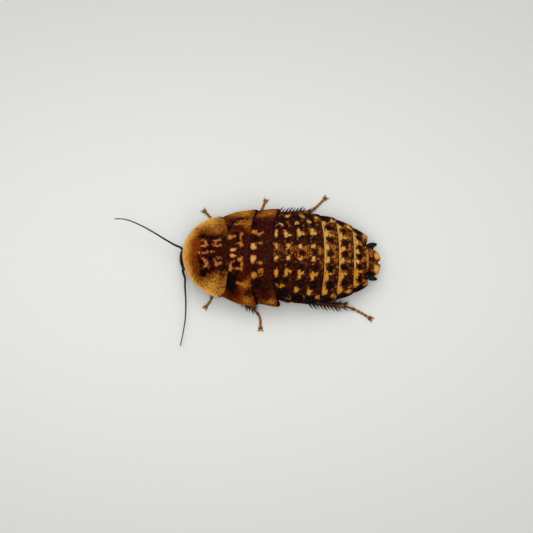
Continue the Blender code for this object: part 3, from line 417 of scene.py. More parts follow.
# Grain of the cuticle, as (size in millimetres, detail), and the spacing of scattered cells.
CLOUDS = (2.2, 3.0)
FRAY = (0.62, 5.0)
PALE_FRAY = (0.45, 5.0)
FINE = (0.2, 3.0)
FLECKS = (0.32, 3.0)
STREAKS = (0.5, 3.0)
DOT_PATCHES = (1.4, 2.0)
NET_PATCHES = (0.9, 4.0)
DOT_DRIFT = (1.1, 1.0)
PIT_SPACING = 0.34
DOT_SPACING = 0.6
NET_SPACING = 0.4
HIND_DOT_PITCH = 0.4
HIND_DOT_ROWS = ((0.2, 0.0), (0.56, 0.5))
CLOUD_SHIFT = 0.9
STREAK_STRETCH = 0.16

# Where the marks fade. The edges of frayed marks say how far the fray reaches and how soft they are.
INNER_FADE = (0.0, 0.8)
HALO_FADE = (-2.0, 0.1)
RIM_FADE = (0.6, 0.05)
GILT_FADE = (-0.4, 0.6)
# Where the tergites' painted shade on the left side fades to the painted light on the right.
LEFT_SHADE_FADE = (1.1, 1.8)
FLECK_EDGE = (0.52, 0.66)
PIT_EDGE = (0.42, 0.2)
DOT_EDGE = (0.36, 0.22)
NET_EDGE = (0.2, 0.42)
HIND_DOT_EDGE = (0.19, 0.09)
MAROON_EDGE = (1.7, 0.4)
PALE_EDGE = (1.1, 0.14)
BLACK_EDGE = (1.1, 0.28)

# Surface of the cuticle. Light seeps into its skin by a depth in millimetres, red furthest.
PLATE_ROUGHNESS = 0.42
PLATE_SEEP = 0.03
PLATE_SHINE = 0.022
PLATE_BUMP = 0.035
COAT_ROUGHNESS = 0.18
SEEP_DEPTH = 0.4
SEEP_COLOURS = (1.0, 0.45, 0.2)

# The photograph's view: degrees from the horizontal, metres, and the point that it looks at.
CAMERA_TILT = 79.5
CAMERA_DISTANCE = 0.5
VIEW_WIDTH = 0.1077
SENSOR = 36
AIM = np.array((3.75, -1.23, 0.0))


# numbers


def smooth(table, x):
    """Values at the places x on a smooth curve through rows of (place, value)."""
    places, values = (np.array(column, float) for column in zip(*table))
    slopes = np.empty_like(values)
    slopes[1:-1] = (values[2:] - values[:-2]) / (places[2:] - places[:-2])
    slopes[0] = (values[1] - values[0]) / (places[1] - places[0])
    slopes[-1] = (values[-1] - values[-2]) / (places[-1] - places[-2])
    i = np.clip(np.searchsorted(places, x, side="right") - 1, 0, len(places) - 2)
    span = places[i + 1] - places[i]
    t = np.clip((x - places[i]) / span, 0, 1)
    near = (2 * t**3 - 3 * t**2 + 1) * values[i] + (t**3 - 2 * t**2 + t) * span * slopes[i]
    far = (3 * t**2 - 2 * t**3) * values[i + 1] + (t**3 - t**2) * span * slopes[i + 1]
    return near + far


def ease(value, low, high):
    """0 up to low, 1 from high on, and a soft step between."""
    t = np.clip((value - low) / (high - low), 0, 1)
    return t * t * (3 - 2 * t)


def spread(count, crowding=0.6):
    """Steps from 0 to 1 that crowd towards both ends."""
    s = np.linspace(0, 1, count)
    return s * (1 - crowding) + (1 - np.cos(math.pi * s)) / 2 * crowding


def unit(vector):
    vector = np.asarray(vector, float)
    return vector / np.linalg.norm(vector, axis=-1, keepdims=True)


def ridge(distance, place, width, height):
    """A rounded ridge along a place, or a groove where the height is below zero."""
    return height * np.exp(-(((distance - place) / width) ** 2))


def rounded(share, least=0.0004):
    """The radius of a round end: nearly nothing at its tip, and 1 from share 1 on."""
    return np.sqrt(np.clip(1 - (1 - np.clip(share, 0, 1)) ** 2, least, 1))


def around(count):
    """Angles that go once round."""
    return np.linspace(0, 2 * math.pi, count, endpoint=False)


def ripple(x, y, height, size, seed):
    """Smooth noise, as high as it is deep, whose hollows are about size across."""
    table = np.random.default_rng(seed).uniform(-1, 1, (64, 64))
    u, v = x / size, y / size
    i, j = np.floor(u).astype(int), np.floor(v).astype(int)
    a, b = ease(u - i, 0, 1), ease(v - j, 0, 1)
    i, j, k, m = i % 64, j % 64, (i + 1) % 64, (j + 1) % 64
    near = table[i, j] * (1 - a) + table[k, j] * a
    far = table[i, m] * (1 - a) + table[k, m] * a
    return height * (near * (1 - b) + far * b)


def swing(x):
    """The sideways place of the body axis at x."""
    ahead = np.clip((PRONOTUM_CORNER - x) / (PRONOTUM_CORNER - PRONOTUM_FRONT), 0, None)
    behind = np.clip((x - SWING_FROM) / (TAIL_TIP - SWING_FROM), 0, None)
    return HEAD_SWING * ahead**1.5 + TAIL_SWING * behind**1.3


def arch(t):
    """Height of the back across the body: 1 on the ridge and 0 at the side edge."""
    return np.clip(np.cos(0.5 * math.pi * np.minimum(1.0, np.abs(t))), 0, None) ** ARCH_POWER


def pronotum_hind(y):
    t = np.minimum(1.0, np.abs(y) / PRONOTUM_HALF_WIDTH)
    return PRONOTUM_CORNER + (PRONOTUM_HIND - PRONOTUM_CORNER) * (1 - t**2.2)


def pad_hind(y, middle, width_place, power):
    """Hind margin of a winged plate, drawn out backwards at the sides into pads."""
    t = np.minimum(1.0, np.abs(y) / smooth(HALF_WIDTHS, width_place))
    return middle + PAD_LENGTH * t**power


def mesonotum_hind(y):
    return pad_hind(y, *MESONOTUM_PAD)


def metanotum_hind(y):
    return pad_hind(y, *METANOTUM_PAD)


def tergite_hind(number, y):
    """Hind margin of an abdominal tergite, drawn forwards at the sides, with a backward corner."""
    hind = TERGITE_HINDS[number - 1]
    t = np.minimum(1.0, np.abs(y) / smooth(ABDOMEN_HALF_WIDTHS, hind))
    dip = ridge(np.abs(y), *LAST_TERGITE_DIP) if number == len(TERGITE_HINDS) else 0
    return hind - TERGITE_CURVES[number - 1] * t**2.6 + CORNER_REACH * t**14 - dip


# marks


def both_sides(rows):
    """The same marks on the animal's right and left."""
    turned = [(x, -y, long, wide, *(-angle for angle in turn)) for x, y, long, wide, *turn in rows]
    return [*rows, *turned]


def blots(x, y, rows, power=2.6):
    """How far, in millimetres, each point lies inside the nearest of some rounded marks."""
    inside = np.full(np.broadcast(x, y).shape, -3.0)
    for place, aside, long, wide, *turn in rows:
        angle = math.radians(turn[0]) if turn else 0.0
        dx, dy = x - place, y - aside
        p = dx * math.cos(angle) + dy * math.sin(angle)
        q = dy * math.cos(angle) - dx * math.sin(angle)
        reach = (np.abs(p / long) ** power + np.abs(q / wide) ** power) ** (1 / power)
        inside = np.maximum(inside, (1 - reach) * min(long, wide))
    return inside


# meshes


def add_object(name, data):
    """A new object in the scene."""
    obj = bpy.data.objects.new(name, data)
    bpy.context.scene.collection.objects.link(obj)
    return obj


def placed(points):
    """Body coordinates in millimetres as places on the ground, in metres."""
    return (np.asarray(points) + STANCE) * MM


def mesh_object(name, points, faces, finish):
    """A plain mesh from body coordinates in millimetres, put in its place on the ground."""
    data = bpy.data.meshes.new(name)
    data.from_pydata(placed(points).tolist(), [], faces.tolist() if isinstance(faces, np.ndarray) else faces)
    data.validate()
    data.shade_smooth()
    data.materials.append(finish)
    return add_object(name, data)


def paint(obj, name, x, y, z):
    """Three numbers for each vertex, which the material reads."""
    values = np.stack([np.ravel(x), np.ravel(y), np.ravel(z)], axis=1).astype(np.float32)
    layer = obj.data.attributes.new(name, "FLOAT_VECTOR", "POINT")
    layer.data.foreach_set("vector", values.ravel())


def grid_faces(rows, columns, start=0, closed=False):
    """Quads of a grid of vertices, whose normals are the cross product of down and across."""
    wide = columns if closed else columns - 1
    i, j = np.meshgrid(np.arange(rows - 1), np.arange(wide), indexing="ij")
    k = (j + 1) % columns
    return start + np.stack([i * columns + j, (i + 1) * columns + j, (i + 1) * columns + k,
                             i * columns + k], axis=-1).reshape(-1, 4)


def normals(points):
    return unit(np.cross(np.gradient(points, axis=0), np.gradient(points, axis=1)))


def edge_distances(points):
    """Distances along the grid from its front, hind and side edges."""
    down = np.linalg.norm(np.diff(points, axis=0), axis=2)
    over = np.linalg.norm(np.diff(points, axis=1), axis=2)
    front = np.vstack([np.zeros((1, points.shape[1])), np.cumsum(down, axis=0)])
    left = np.hstack([np.zeros((points.shape[0], 1)), np.cumsum(over, axis=1)])
    return front, front[-1:] - front, np.minimum(left, left[:, -1:] - left)


def shell(name, outer, thickness, relief, finish):
    """A closed plate with rounded rims: an outer grid, and an inner one below it."""
    up = normals(outer)
    outer = outer + up * relief[..., None]
    edge = np.minimum.reduce(edge_distances(outer))
    radius = np.minimum(RIM_ROUNDING, thickness * 0.47)
    sink = radius * (1 - np.sqrt(1 - (1 - np.clip(edge / RIM_ROUNDING, 0, 1)) ** 2))
    top = outer - up * sink[..., None]
    base = outer - up * (thickness - sink)[..., None]
    rows, columns = edge.shape
    count = rows * columns
    faces = [grid_faces(rows, columns), grid_faces(rows, columns, count)[:, ::-1]]
    index = np.arange(count).reshape(rows, columns)
    border = np.concatenate([index[:-1, 0], index[-1, :-1], index[:0:-1, -1], index[0, :0:-1]])
    after = np.roll(border, -1)
    faces.append(np.stack([border, border + count, after + count, after], axis=1))
    points = np.concatenate([top.reshape(-1, 3), base.reshape(-1, 3)])
    return mesh_object(name, points, np.concatenate(faces), finish)


def paint_shell(obj, name, *fields):
    """Three fields over a plate's grid, for its outer and inner sides. A bare number is the same all over."""
    paint(obj, name, *(np.tile(np.ravel(field), 2) for field in np.broadcast_arrays(*fields)))


def route(points, count):
    """Points on a smooth curve through the given ones."""
    points = np.asarray(points, float)
    ends = np.vstack([points[0] * 2 - points[1], points, points[-1] * 2 - points[-2]])
    at = np.linspace(0, len(points) - 1, count)
    i = np.minimum(at.astype(int), len(points) - 2)
    t = (at - i)[:, None]
    a, b, c, d = ends[i], ends[i + 1], ends[i + 2], ends[i + 3]
    return 0.5 * (2 * b + (c - a) * t + (2 * a - 5 * b + 4 * c - d) * t**2
                  + (3 * b - a - 3 * c + d) * t**3)


def tube(name, centres, wide, high, finish, sides=24, up=UP, relief=None):
    """A closed solid along a route, with an ellipse of (sideways, upward) radii at each centre."""
    along = unit(np.gradient(centres, axis=0))
    across = unit(np.cross(along, up))
    upward = np.cross(across, along)
    turn = around(sides)
    ring = (across[:, None] * (wide[:, None] * np.cos(turn))[..., None]
            + upward[:, None] * (high[:, None] * np.sin(turn))[..., None])
    if relief is not None:
        ring = ring + unit(ring) * relief[..., None]
    points = (centres[:, None] + ring).reshape(-1, 3)
    points = np.vstack([points, centres[:1], centres[-1:]])
    return mesh_object(name, points, capped_faces(len(centres), sides, turned=True), finish)


def capped_faces(count, sides, turned=False):
    """Faces of a closed stack of rings, whose last two vertices are the middles of its ends."""
    grid = grid_faces(count, sides, closed=True)
    faces = (grid[:, ::-1] if turned else grid).tolist()
    last = count * sides
    for k in range(sides):
        first, second = ((k + 1) % sides, k) if turned else (k, (k + 1) % sides)
        faces.append((last, first, second))
        faces.append((last + 1, last - sides + second, last - sides + first))
    return faces


def paint_limb(obj, share, joint, sides):
    """The share of a limb's length, and a place within its joint, for every ring and both end points."""
    each = [np.concatenate([np.repeat(values, sides), values[:1], values[-1:]]) for values in (share, joint)]
    paint(obj, "limb", *each, 0 * each[0])


def limb(name, start, end, shape, radii, finish, rings_count=40, sides=28):
    """A limb segment with rounded ends, from a table of (share of length, share of radius)."""
    start, end = np.asarray(start, float), np.asarray(end, float)
    share = shape[0][0] + (shape[-1][0] - shape[0][0]) * spread(rings_count, LIMB_CROWDING)
    size = smooth(shape, share)
    reach = np.linalg.norm(end - start) * np.minimum(share - share[0], share[-1] - share)
    size = size * rounded(reach / (radii[0] * size * LIMB_CAP))
    centres = start + (end - start) * share[:, None]
    made = tube(name, centres, size * radii[0], size * radii[1], finish, sides)
    paint_limb(made, share, size, sides)
    return made


# materials


def linear(colour):
    """Screen values from 0 to 255 as the scene-linear colour that a node takes."""
    parts = [value / 255 for value in colour]
    return (*[p / 12.92 if p <= 0.04045 else ((p + 0.055) / 1.055) ** 2.4 for p in parts], 1.0)


class Sums:
    """Short names for the sums that a node tree takes most."""

    def plus(self, first, second):
        return self.maths("ADD", first, second)

    def minus(self, first, second):
        return self.maths("SUBTRACT", first, second)

    def times(self, first, second):
        return self.maths("MULTIPLY", first, second)


class Finish(Sums):
    """One procedural material, built node by node. Sizes in it are millimetres."""

    def __init__(self, name, roughness=0.4, coat=0.0, seep=0.0, shine=0.1):
        self.material = bpy.data.materials.new(name)
        self.material.use_nodes = True
        self.tree = self.material.node_tree
        self.shader = self.tree.nodes["Principled BSDF"]
        settings = {"Roughness": roughness, "Specular IOR Level": shine, "Coat Weight": coat,
                    "Coat Roughness": COAT_ROUGHNESS, "Subsurface Weight": seep,
                    "Subsurface Scale": SEEP_DEPTH * MM, "Subsurface Radius": SEEP_COLOURS}
        for label, value in settings.items():
            self.shader.inputs[label].default_value = value
        seat = self.tree.nodes.new("ShaderNodeTexCoord")
        scaled = self.tree.nodes.new("ShaderNodeVectorMath")
        scaled.operation = "SCALE"
        scaled.inputs["Scale"].default_value = 1 / MM
        self.tree.links.new(seat.outputs["Object"], scaled.inputs[0])
        self.place = scaled.outputs[0]

    def link(self, value, socket):
        if isinstance(value, bpy.types.NodeSocket):
            self.tree.links.new(value, socket)
        else:
            socket.default_value = value

    def maths(self, operation, first, second=0.0, clamp=False):
        node = self.tree.nodes.new("ShaderNodeMath")
        node.operation = operation
        node.use_clamp = clamp
        self.link(first, node.inputs[0])
        self.link(second, node.inputs[1])
        return node.outputs[0]

    def step(self, value, low, high):
        """0 below low, 1 above high, with a soft step between. Turned round where low is above high."""
        node = self.tree.nodes.new("ShaderNodeMapRange")
        node.interpolation_type = "SMOOTHSTEP"
        self.link(value, node.inputs["Value"])
        node.inputs["From Min"].default_value = min(low, high)
        node.inputs["From Max"].default_value = max(low, high)
        node.inputs["To Min"].default_value = 0.0 if low < high else 1.0
        node.inputs["To Max"].default_value = 1.0 if low < high else 0.0
        return node.outputs["Result"]

    def mix(self, share, first, second):
        node = self.tree.nodes.new("ShaderNodeMix")
        node.data_type = "RGBA"
        self.link(share, node.inputs["Factor"])
        self.link(linear(first) if isinstance(first, tuple) else first, node.inputs[6])
        self.link(linear(second) if isinstance(second, tuple) else second, node.inputs[7])
        return node.outputs[2]

    def cover(self, base, colour, mask, strength=1.0):
        """The base, with a colour over it where the mask is high."""
        return self.mix(mask if strength == 1.0 else self.times(mask, strength), base, colour)

    def noise(self, size, detail=2.0, place=None):
        """Cloudy noise from 0 to 1, with clouds of the given size."""
        node = self.tree.nodes.new("ShaderNodeTexNoise")
        self.link(place or self.place, node.inputs["Vector"])
        node.inputs["Scale"].default_value = 1 / size
        node.inputs["Detail"].default_value = detail
        return node.outputs["Fac"]

    def cells(self, size):
        """Distance from the middles of scattered cells."""
        node = self.tree.nodes.new("ShaderNodeTexVoronoi")
        self.link(self.place, node.inputs["Vector"])
        node.inputs["Scale"].default_value = 1 / size
        return node.outputs["Distance"]

    def attribute(self, name):
        """The three numbers that each vertex carries under that name."""
        node = self.tree.nodes.new("ShaderNodeAttribute")
        node.attribute_name = name
        split = self.tree.nodes.new("ShaderNodeSeparateXYZ")
        self.tree.links.new(node.outputs["Vector"], split.inputs[0])
        return tuple(split.outputs)

    def vector(self, operation, value, by):
        """A vector multiplied by another, or measured from it."""
        node = self.tree.nodes.new("ShaderNodeVectorMath")
        node.operation = operation
        self.link(value, node.inputs[0])
        node.inputs[1].default_value = by
        return node.outputs["Value" if operation == "DISTANCE" else "Vector"]

    def bump(self, height, depth, strength=1.0):
        node = self.tree.nodes.new("ShaderNodeBump")
        node.inputs["Strength"].default_value = strength
        node.inputs["Distance"].default_value = depth * MM
        self.link(height, node.inputs["Height"])
        self.tree.links.new(node.outputs["Normal"], self.shader.inputs["Normal"])

    def done(self, colour, roughness=None):
        self.link(linear(colour) if isinstance(colour, tuple) else colour, self.shader.inputs["Base Color"])
        if roughness is not None:
            self.link(roughness, self.shader.inputs["Roughness"])
        return self.material


def wobbled(finish, field, wobble, share, soft):
    """A mark's mask: its field, frayed by noise, with an edge of the given softness."""
    return finish.step(finish.plus(field, finish.times(finish.minus(wobble, 0.5), share)), -soft, soft)


def patterned(name, inner, outer, pale, second_pale, kind=""):
    """A plate's finish: mottled ground, maroon and pale marks, a pale rim, and black marks."""
    finish = Finish(name, PLATE_ROUGHNESS, 0.0, PLATE_SEEP, PLATE_SHINE)
    maroon, black, light = finish.attribute("marks")
    depth, rim, hind = finish.attribute("margins")
    coarse, fray, fine, flecks = (finish.noise(*grain) for grain in (CLOUDS, FRAY, FINE, FLECKS))
    pits = finish.cells(PIT_SPACING)
    shift = finish.times(finish.minus(coarse, 0.5), CLOUD_SHIFT)
    body = finish.mix(finish.step(finish.plus(depth, shift), *INNER_FADE), outer, inner)
    near = finish.step(finish.plus(maroon, shift), *HALO_FADE)
    body = finish.cover(body, RUST, near, 0.62)
    if kind == "pads":
        body = streaked(finish, body, finish.plus(hind, shift))
    body = speckled(finish, body, depth, near, flecks, pits, bold=not kind)
    deep = maroon_tone(finish, depth, fray, flecks, netted=kind in ("tergite", "tail"))
    body = finish.cover(body, deep, wobbled(finish, maroon, fray, *MAROON_EDGE))
    tint = pale_tone(finish, pale, second_pale, light, rim, fine, flecks, kind)
    body = finish.cover(body, tint, wobbled(finish, light, finish.noise(*PALE_FRAY), *PALE_EDGE))
    body = finish.cover(body, RIM, finish.step(rim, *RIM_FADE), 0.8)
    coal = black_tone(finish, rim, coarse, flecks, kind)
    body = finish.cover(body, coal, wobbled(finish, black, fray, *BLACK_EDGE))
    for inset, stagger in HIND_DOT_ROWS if kind == "tergite" else ():
        body = hind_dots(finish, body, hind, inset, stagger)
    finish.bump(finish.minus(fine, finish.times(pits, 0.6)), PLATE_BUMP, 0.6)
    return finish.done(body, finish.plus(finish.times(fray, 0.2), 0.3))


def speckled(finish, body, depth, near, flecks, pits, bold):
    """Rusty flecks, and dark pits near the maroon and away from the edge. Bold dots on the shield."""
    crowd = finish.plus(finish.times(depth, 0.03), finish.times(near, 0.06))
    body = finish.cover(body, RUST, finish.step(finish.plus(flecks, crowd), *FLECK_EDGE), 0.66)
    strewn = finish.maths("MAXIMUM", finish.step(near, 0.0, 0.4), finish.times(depth, 0.8))
    pit = finish.times(finish.step(pits, *PIT_EDGE), strewn)
    body = finish.cover(body, MAROON, pit, 0.5 if bold else 0.75)
    if not bold:
        return body
    patches = finish.times(finish.step(finish.noise(*DOT_PATCHES), 0.36, 0.52), strewn)
    dots = finish.times(finish.step(finish.cells(DOT_SPACING), *DOT_EDGE), patches)
    return finish.cover(body, BROWN, dots, 0.95)


def streaked(finish, body, gold_highlight):
    """Brown streaks that follow the veins of a wing pad, over gold where its field is high: partly the pad's
    own gold, partly a painted highlight.
    """
    veins, gaps, _ = finish.attribute("veins")
    joined = finish.tree.nodes.new("ShaderNodeCombineXYZ")
    finish.link(finish.times(veins, STREAK_STRETCH), joined.inputs[0])
    finish.link(gaps, joined.inputs[1])
    streaks = finish.noise(*STREAKS, place=joined.outputs[0])
    body = finish.cover(body, GILT, finish.step(gold_highlight, *GILT_FADE), 0.8)
    return finish.cover(body, BROWN, finish.step(streaks, 0.42, 0.66), 0.72)


def maroon_tone(finish, depth, fray, flecks, netted):
    """Dark red-brown with rusty flecks. Where netted, dark dots in a net of tan, dense at high depth."""
    deep = finish.mix(finish.step(fray, 0.38, 0.62), MAROON, DARK)
    deep = finish.cover(deep, RUST, finish.step(flecks, 0.5, 0.7), 0.6)
    if not netted:
        return deep
    net = finish.step(finish.cells(NET_SPACING), *NET_EDGE)
    level = finish.plus(finish.noise(*NET_PATCHES), finish.times(depth, 0.26))
    deep = finish.cover(deep, BROWN, finish.step(depth, 0.3, 1.0), 0.5)
    tan = finish.mix(finish.step(flecks, 0.42, 0.6), TAN, HONEY)
    return finish.cover(deep, tan, finish.times(net, finish.times(finish.step(level, 0.58, 0.8), 0.9)))


def pale_tone(finish, pale, second_pale, light, rim, fine, flecks, kind):
    """Two pale tones with rusty stains and creamy middles. On the tergites the left side is painted a deeper
    gold as shade, and the right side creamier as painted light.
    """
    tint = finish.mix(finish.step(fine, 0.36, 0.64), pale, second_pale)
    tint = finish.cover(tint, RUST, finish.step(flecks, 0.52, 0.68), 0.3 if kind == "tergite" else 0.55)
    tint = finish.cover(tint, CREAM, finish.step(light, 0.15, 0.6), 0.85)
    if kind == "tergite":
        tint = finish.cover(tint, GILT, finish.step(rim, *LEFT_SHADE_FADE), 0.7)
        tint = finish.cover(tint, CREAM, finish.step(rim, *LEFT_SHADE_FADE[::-1]), 0.5)
    return tint


def black_tone(finish, rim, coarse, flecks, kind):
    """Black with brown-black flecks, browner on the tail, and browner on the right of the tergites as painted
    light.
    """
    coal = finish.mix(finish.times(finish.step(flecks, 0.45, 0.7), 0.4), BLACK, DARK)
    if kind == "tergite":
        brownish = finish.times(finish.step(flecks, 0.5, 0.64), finish.step(rim, *LEFT_SHADE_FADE[::-1]))
        coal = finish.cover(coal, BROWN, brownish, 0.5)
    if kind == "tail":
        coal = finish.cover(coal, BROWN, finish.step(coarse, 0.45, 0.65), 0.5)
    return coal


def hind_dots(finish, body, hind, inset, stagger):
    """A row of dark dots along the free edge, a little ahead of it."""
    across = finish.tree.nodes.new("ShaderNodeSeparateXYZ")
    finish.tree.links.new(finish.place, across.inputs[0])
    shift = finish.plus(finish.times(finish.noise(*DOT_DRIFT), 0.9), stagger)
    step = finish.plus(finish.maths("DIVIDE", across.outputs[1], HIND_DOT_PITCH), shift)
    aside = finish.times(finish.minus(finish.maths("FRACT", step), 0.5), HIND_DOT_PITCH)
    behind = finish.minus(hind, inset)
    squares = finish.plus(finish.maths("POWER", aside, 2.0), finish.maths("POWER", behind, 2.0))
    return finish.cover(body, DARK, finish.step(finish.maths("SQRT", squares), *HIND_DOT_EDGE), 0.8)


def plain_finish(name, colour, second, size, roughness, coat=0.2, spots=None, seep=0.0):
    """Two tones of one cuticle, with fine grain, and darker spots where asked."""
    finish = Finish(name, roughness, coat, seep)
    body = finish.mix(finish.step(finish.noise(size, 3.0), 0.35, 0.68), colour, second)
    pits = finish.cells(size * 0.45)
    if spots:
        patchy = finish.step(finish.noise(size * 1.6, 4.0), 0.44, 0.64)
        body = finish.mix(finish.times(finish.step(pits, 0.4, 0.16), patchy), body, spots)
    fine = finish.noise(size * 0.25, 3.0)
    body = finish.cover(body, second, finish.step(fine, 0.5, 0.75), 0.3)
    finish.bump(finish.minus(fine, finish.times(pits, 0.5)), 0.02, 0.5)
    return finish.done(body, finish.plus(finish.times(fine, 0.2), roughness - 0.1))


def limb_finish(name, root, middle, tip, breaks, roughness=0.36, ringed=False):
    """A limb segment whose colour changes from root to tip, with speckles, or dark rings at its joints."""
    finish = Finish(name, roughness, 0.05, 0.03)
    share, joint, _ = finish.attribute("limb")
    fray = finish.noise(0.6, 3.0)
    place = finish.plus(share, finish.times(finish.minus(fray, 0.5), 0.25))
    body = finish.mix(finish.step(place, breaks[0] - 0.08, breaks[0] + 0.08), root, middle)
    body = finish.mix(finish.step(place, breaks[1] - 0.05, breaks[1] + 0.05), body, tip)
    if ringed:
        ring = finish.maths("ADD", finish.step(joint, 0.66, 0.84), finish.step(joint, 0.26, 0.06), clamp=True)
        body = finish.cover(body, DARK, ring, 0.85)
    pits = finish.cells(0.26)
    patchy = finish.step(finish.noise(0.9, 4.0), 0.42, 0.58)
    body = finish.mix(finish.times(finish.step(pits, 0.4, 0.15), patchy), body, DARK)
    fine = finish.noise(0.12, 3.0)
    finish.bump(finish.minus(fine, finish.times(pits, 0.6)), 0.02, 0.5)
    return finish.done(body, finish.plus(finish.times(fine, 0.25), roughness - 0.1))


def make_finishes():
    """All the materials, by the name of what wears them."""
    made = {
        "shield": patterned("shield_cuticle", AMBER, GOLD, ROSY, (186, 116, 60)),
        "mesonotum": patterned("front_pad_cuticle", HONEY, LOBE, ROSY, TAN, "pads"),
        "metanotum": patterned("hind_pad_cuticle", RUST, HIND_LOBE, TAN, ROSY, "pads"),
        "tergite": patterned("tergite_cuticle", HONEY, AMBER, STRAW, TAN, "tergite"),
        "tail": patterned("tail_cuticle", HONEY, AMBER, TAN, GOLD, "tail"),
        "feeler": feeler_finish(),
    }
    made.update({wearer: plain_finish(*look) for wearer, look in PLAIN_LOOKS.items()})
    made.update({wearer: limb_finish(*look) for wearer, look in LIMB_LOOKS.items()})
    return made


def feeler_finish():
    """Nearly black at the root, grey-brown towards the tip, with fine dark grain."""
    finish = Finish("feeler_cuticle", 0.42, 0.15)
    node = finish.tree.nodes.new("ShaderNodeAttribute")
    node.attribute_name = "along"
    body = finish.mix(finish.step(node.outputs["Fac"], 0.25, 0.95), (22, 12, 9), (96, 70, 58))
    fine = finish.noise(0.1, 2.0)
    body = finish.cover(body, DARK, finish.step(fine, 0.5, 0.7), 0.4)
    finish.bump(fine, 0.01, 0.5)
    return finish.done(body)


# growths, made by Geometry Nodes


class Growth(Sums):
    """One Geometry Nodes tree with named inputs, built node by node."""

    KINDS = {"float": "NodeSocketFloat", "int": "NodeSocketInt", "vector": "NodeSocketVector",
             "material": "NodeSocketMaterial"}

    def __init__(self, name, inputs):
        self.tree = bpy.data.node_groups.new(name, "GeometryNodeTree")
        face = self.tree.interface
        face.new_socket("Geometry", in_out="INPUT", socket_type="NodeSocketGeometry")
        for label, kind in inputs:
            face.new_socket(label, in_out="INPUT", socket_type=self.KINDS[kind])
        face.new_socket("Geometry", in_out="OUTPUT", socket_type="NodeSocketGeometry")
        self.given = self.tree.nodes.new("NodeGroupInput").outputs
        self.out = self.tree.nodes.new("NodeGroupOutput")

    def node(self, kind, feeds=None, **settings):
        """A new node, with values or links for its inputs."""
        made = self.tree.nodes.new(kind)
        for setting, value in settings.items():
            setattr(made, setting, value)
        for key, value in (feeds or {}).items():
            socket = made.inputs[key]
            if isinstance(value, bpy.types.NodeSocket):
                self.tree.links.new(value, socket)
            else:
                socket.default_value = value
        return made

    def made(self, kind, feeds=None, **settings):
        """The first output of a new node."""
        return self.node(kind, feeds, **settings).outputs[0]

    def maths(self, operation, first, second=0.0):
        return self.made("ShaderNodeMath", {0: first, 1: second}, operation=operation)

    def named(self, name, kind):
        made = self.node("GeometryNodeInputNamedAttribute", {"Name": name}, data_type=kind)
        return made.outputs["Attribute"]

    def end(self, geometry):
        """Realize Instances, then Set Material."""
        real = self.made("GeometryNodeRealizeInstances", {"Geometry": geometry})
        worn = self.node("GeometryNodeSetMaterial", {"Geometry": real, "Material": self.given["Material"]})
        self.tree.links.new(worn.outputs[0], self.out.inputs[0])
        return self.tree


def grow(obj, tree, **values):
    """Runs a tree on an object, and leaves the result as its plain mesh."""
    modifier = obj.modifiers.new(tree.name, "NODES")
    modifier.node_group = tree
    for item in tree.interface.items_tree:
        if item.in_out == "INPUT" and item.name in values:
            modifier[item.identifier] = values[item.name]
    bpy.context.view_layer.update()
    graph = bpy.context.evaluated_depsgraph_get()
    data = bpy.data.meshes.new_from_object(obj.evaluated_get(graph))
    if obj.type == "MESH":
        obj.modifiers.clear()
        obj.data = data
        made = obj
    else:
        made = add_object(obj.name + "_mesh", data)
        name = obj.name
        bpy.data.objects.remove(obj)
        made.name = name
    made.data.shade_smooth()
    return made


def thorn_tree():
    """Curved thorns on points that carry a direction, lean, and a size."""
    growth = Growth("thorns", (("Length", "float"), ("Root radius", "float"), ("Bend", "float"),
                               ("Sides", "int"), ("Material", "material")))
    given = growth.given
    half = growth.times(given["Length"], 0.5)
    middle = growth.made("ShaderNodeCombineXYZ", {2: half})
    end = growth.made("ShaderNodeCombineXYZ", {0: given["Bend"], 2: given["Length"]})
    spine = growth.made("GeometryNodeCurveQuadraticBezier",
                        {"Resolution": 6, "Start": (0, 0, 0), "Middle": middle, "End": end})
    share = growth.node("GeometryNodeSplineParameter").outputs["Factor"]
    taper = growth.maths("POWER", growth.minus(1.02, share), 0.8)
    radius = growth.times(taper, given["Root radius"])
    sized = growth.made("GeometryNodeSetCurveRadius", {"Curve": spine, "Radius": radius})
    circle = growth.made("GeometryNodeCurvePrimitiveCircle",
                         {"Resolution": given["Sides"], "Radius": 1.0})
    thorn = growth.made("GeometryNodeCurveToMesh",
                         {"Curve": sized, "Profile Curve": circle, "Scale": radius,
                         "Fill Caps": True})
    turn = growth.made("FunctionNodeAlignRotationToVector",
                       {"Vector": growth.named("lean", "FLOAT_VECTOR")}, axis="Z")
    grown = growth.made("GeometryNodeInstanceOnPoints",
                        {"Points": given["Geometry"], "Instance": thorn, "Rotation": turn,
                         "Scale": growth.named("size", "FLOAT")})
    return growth.end(grown)


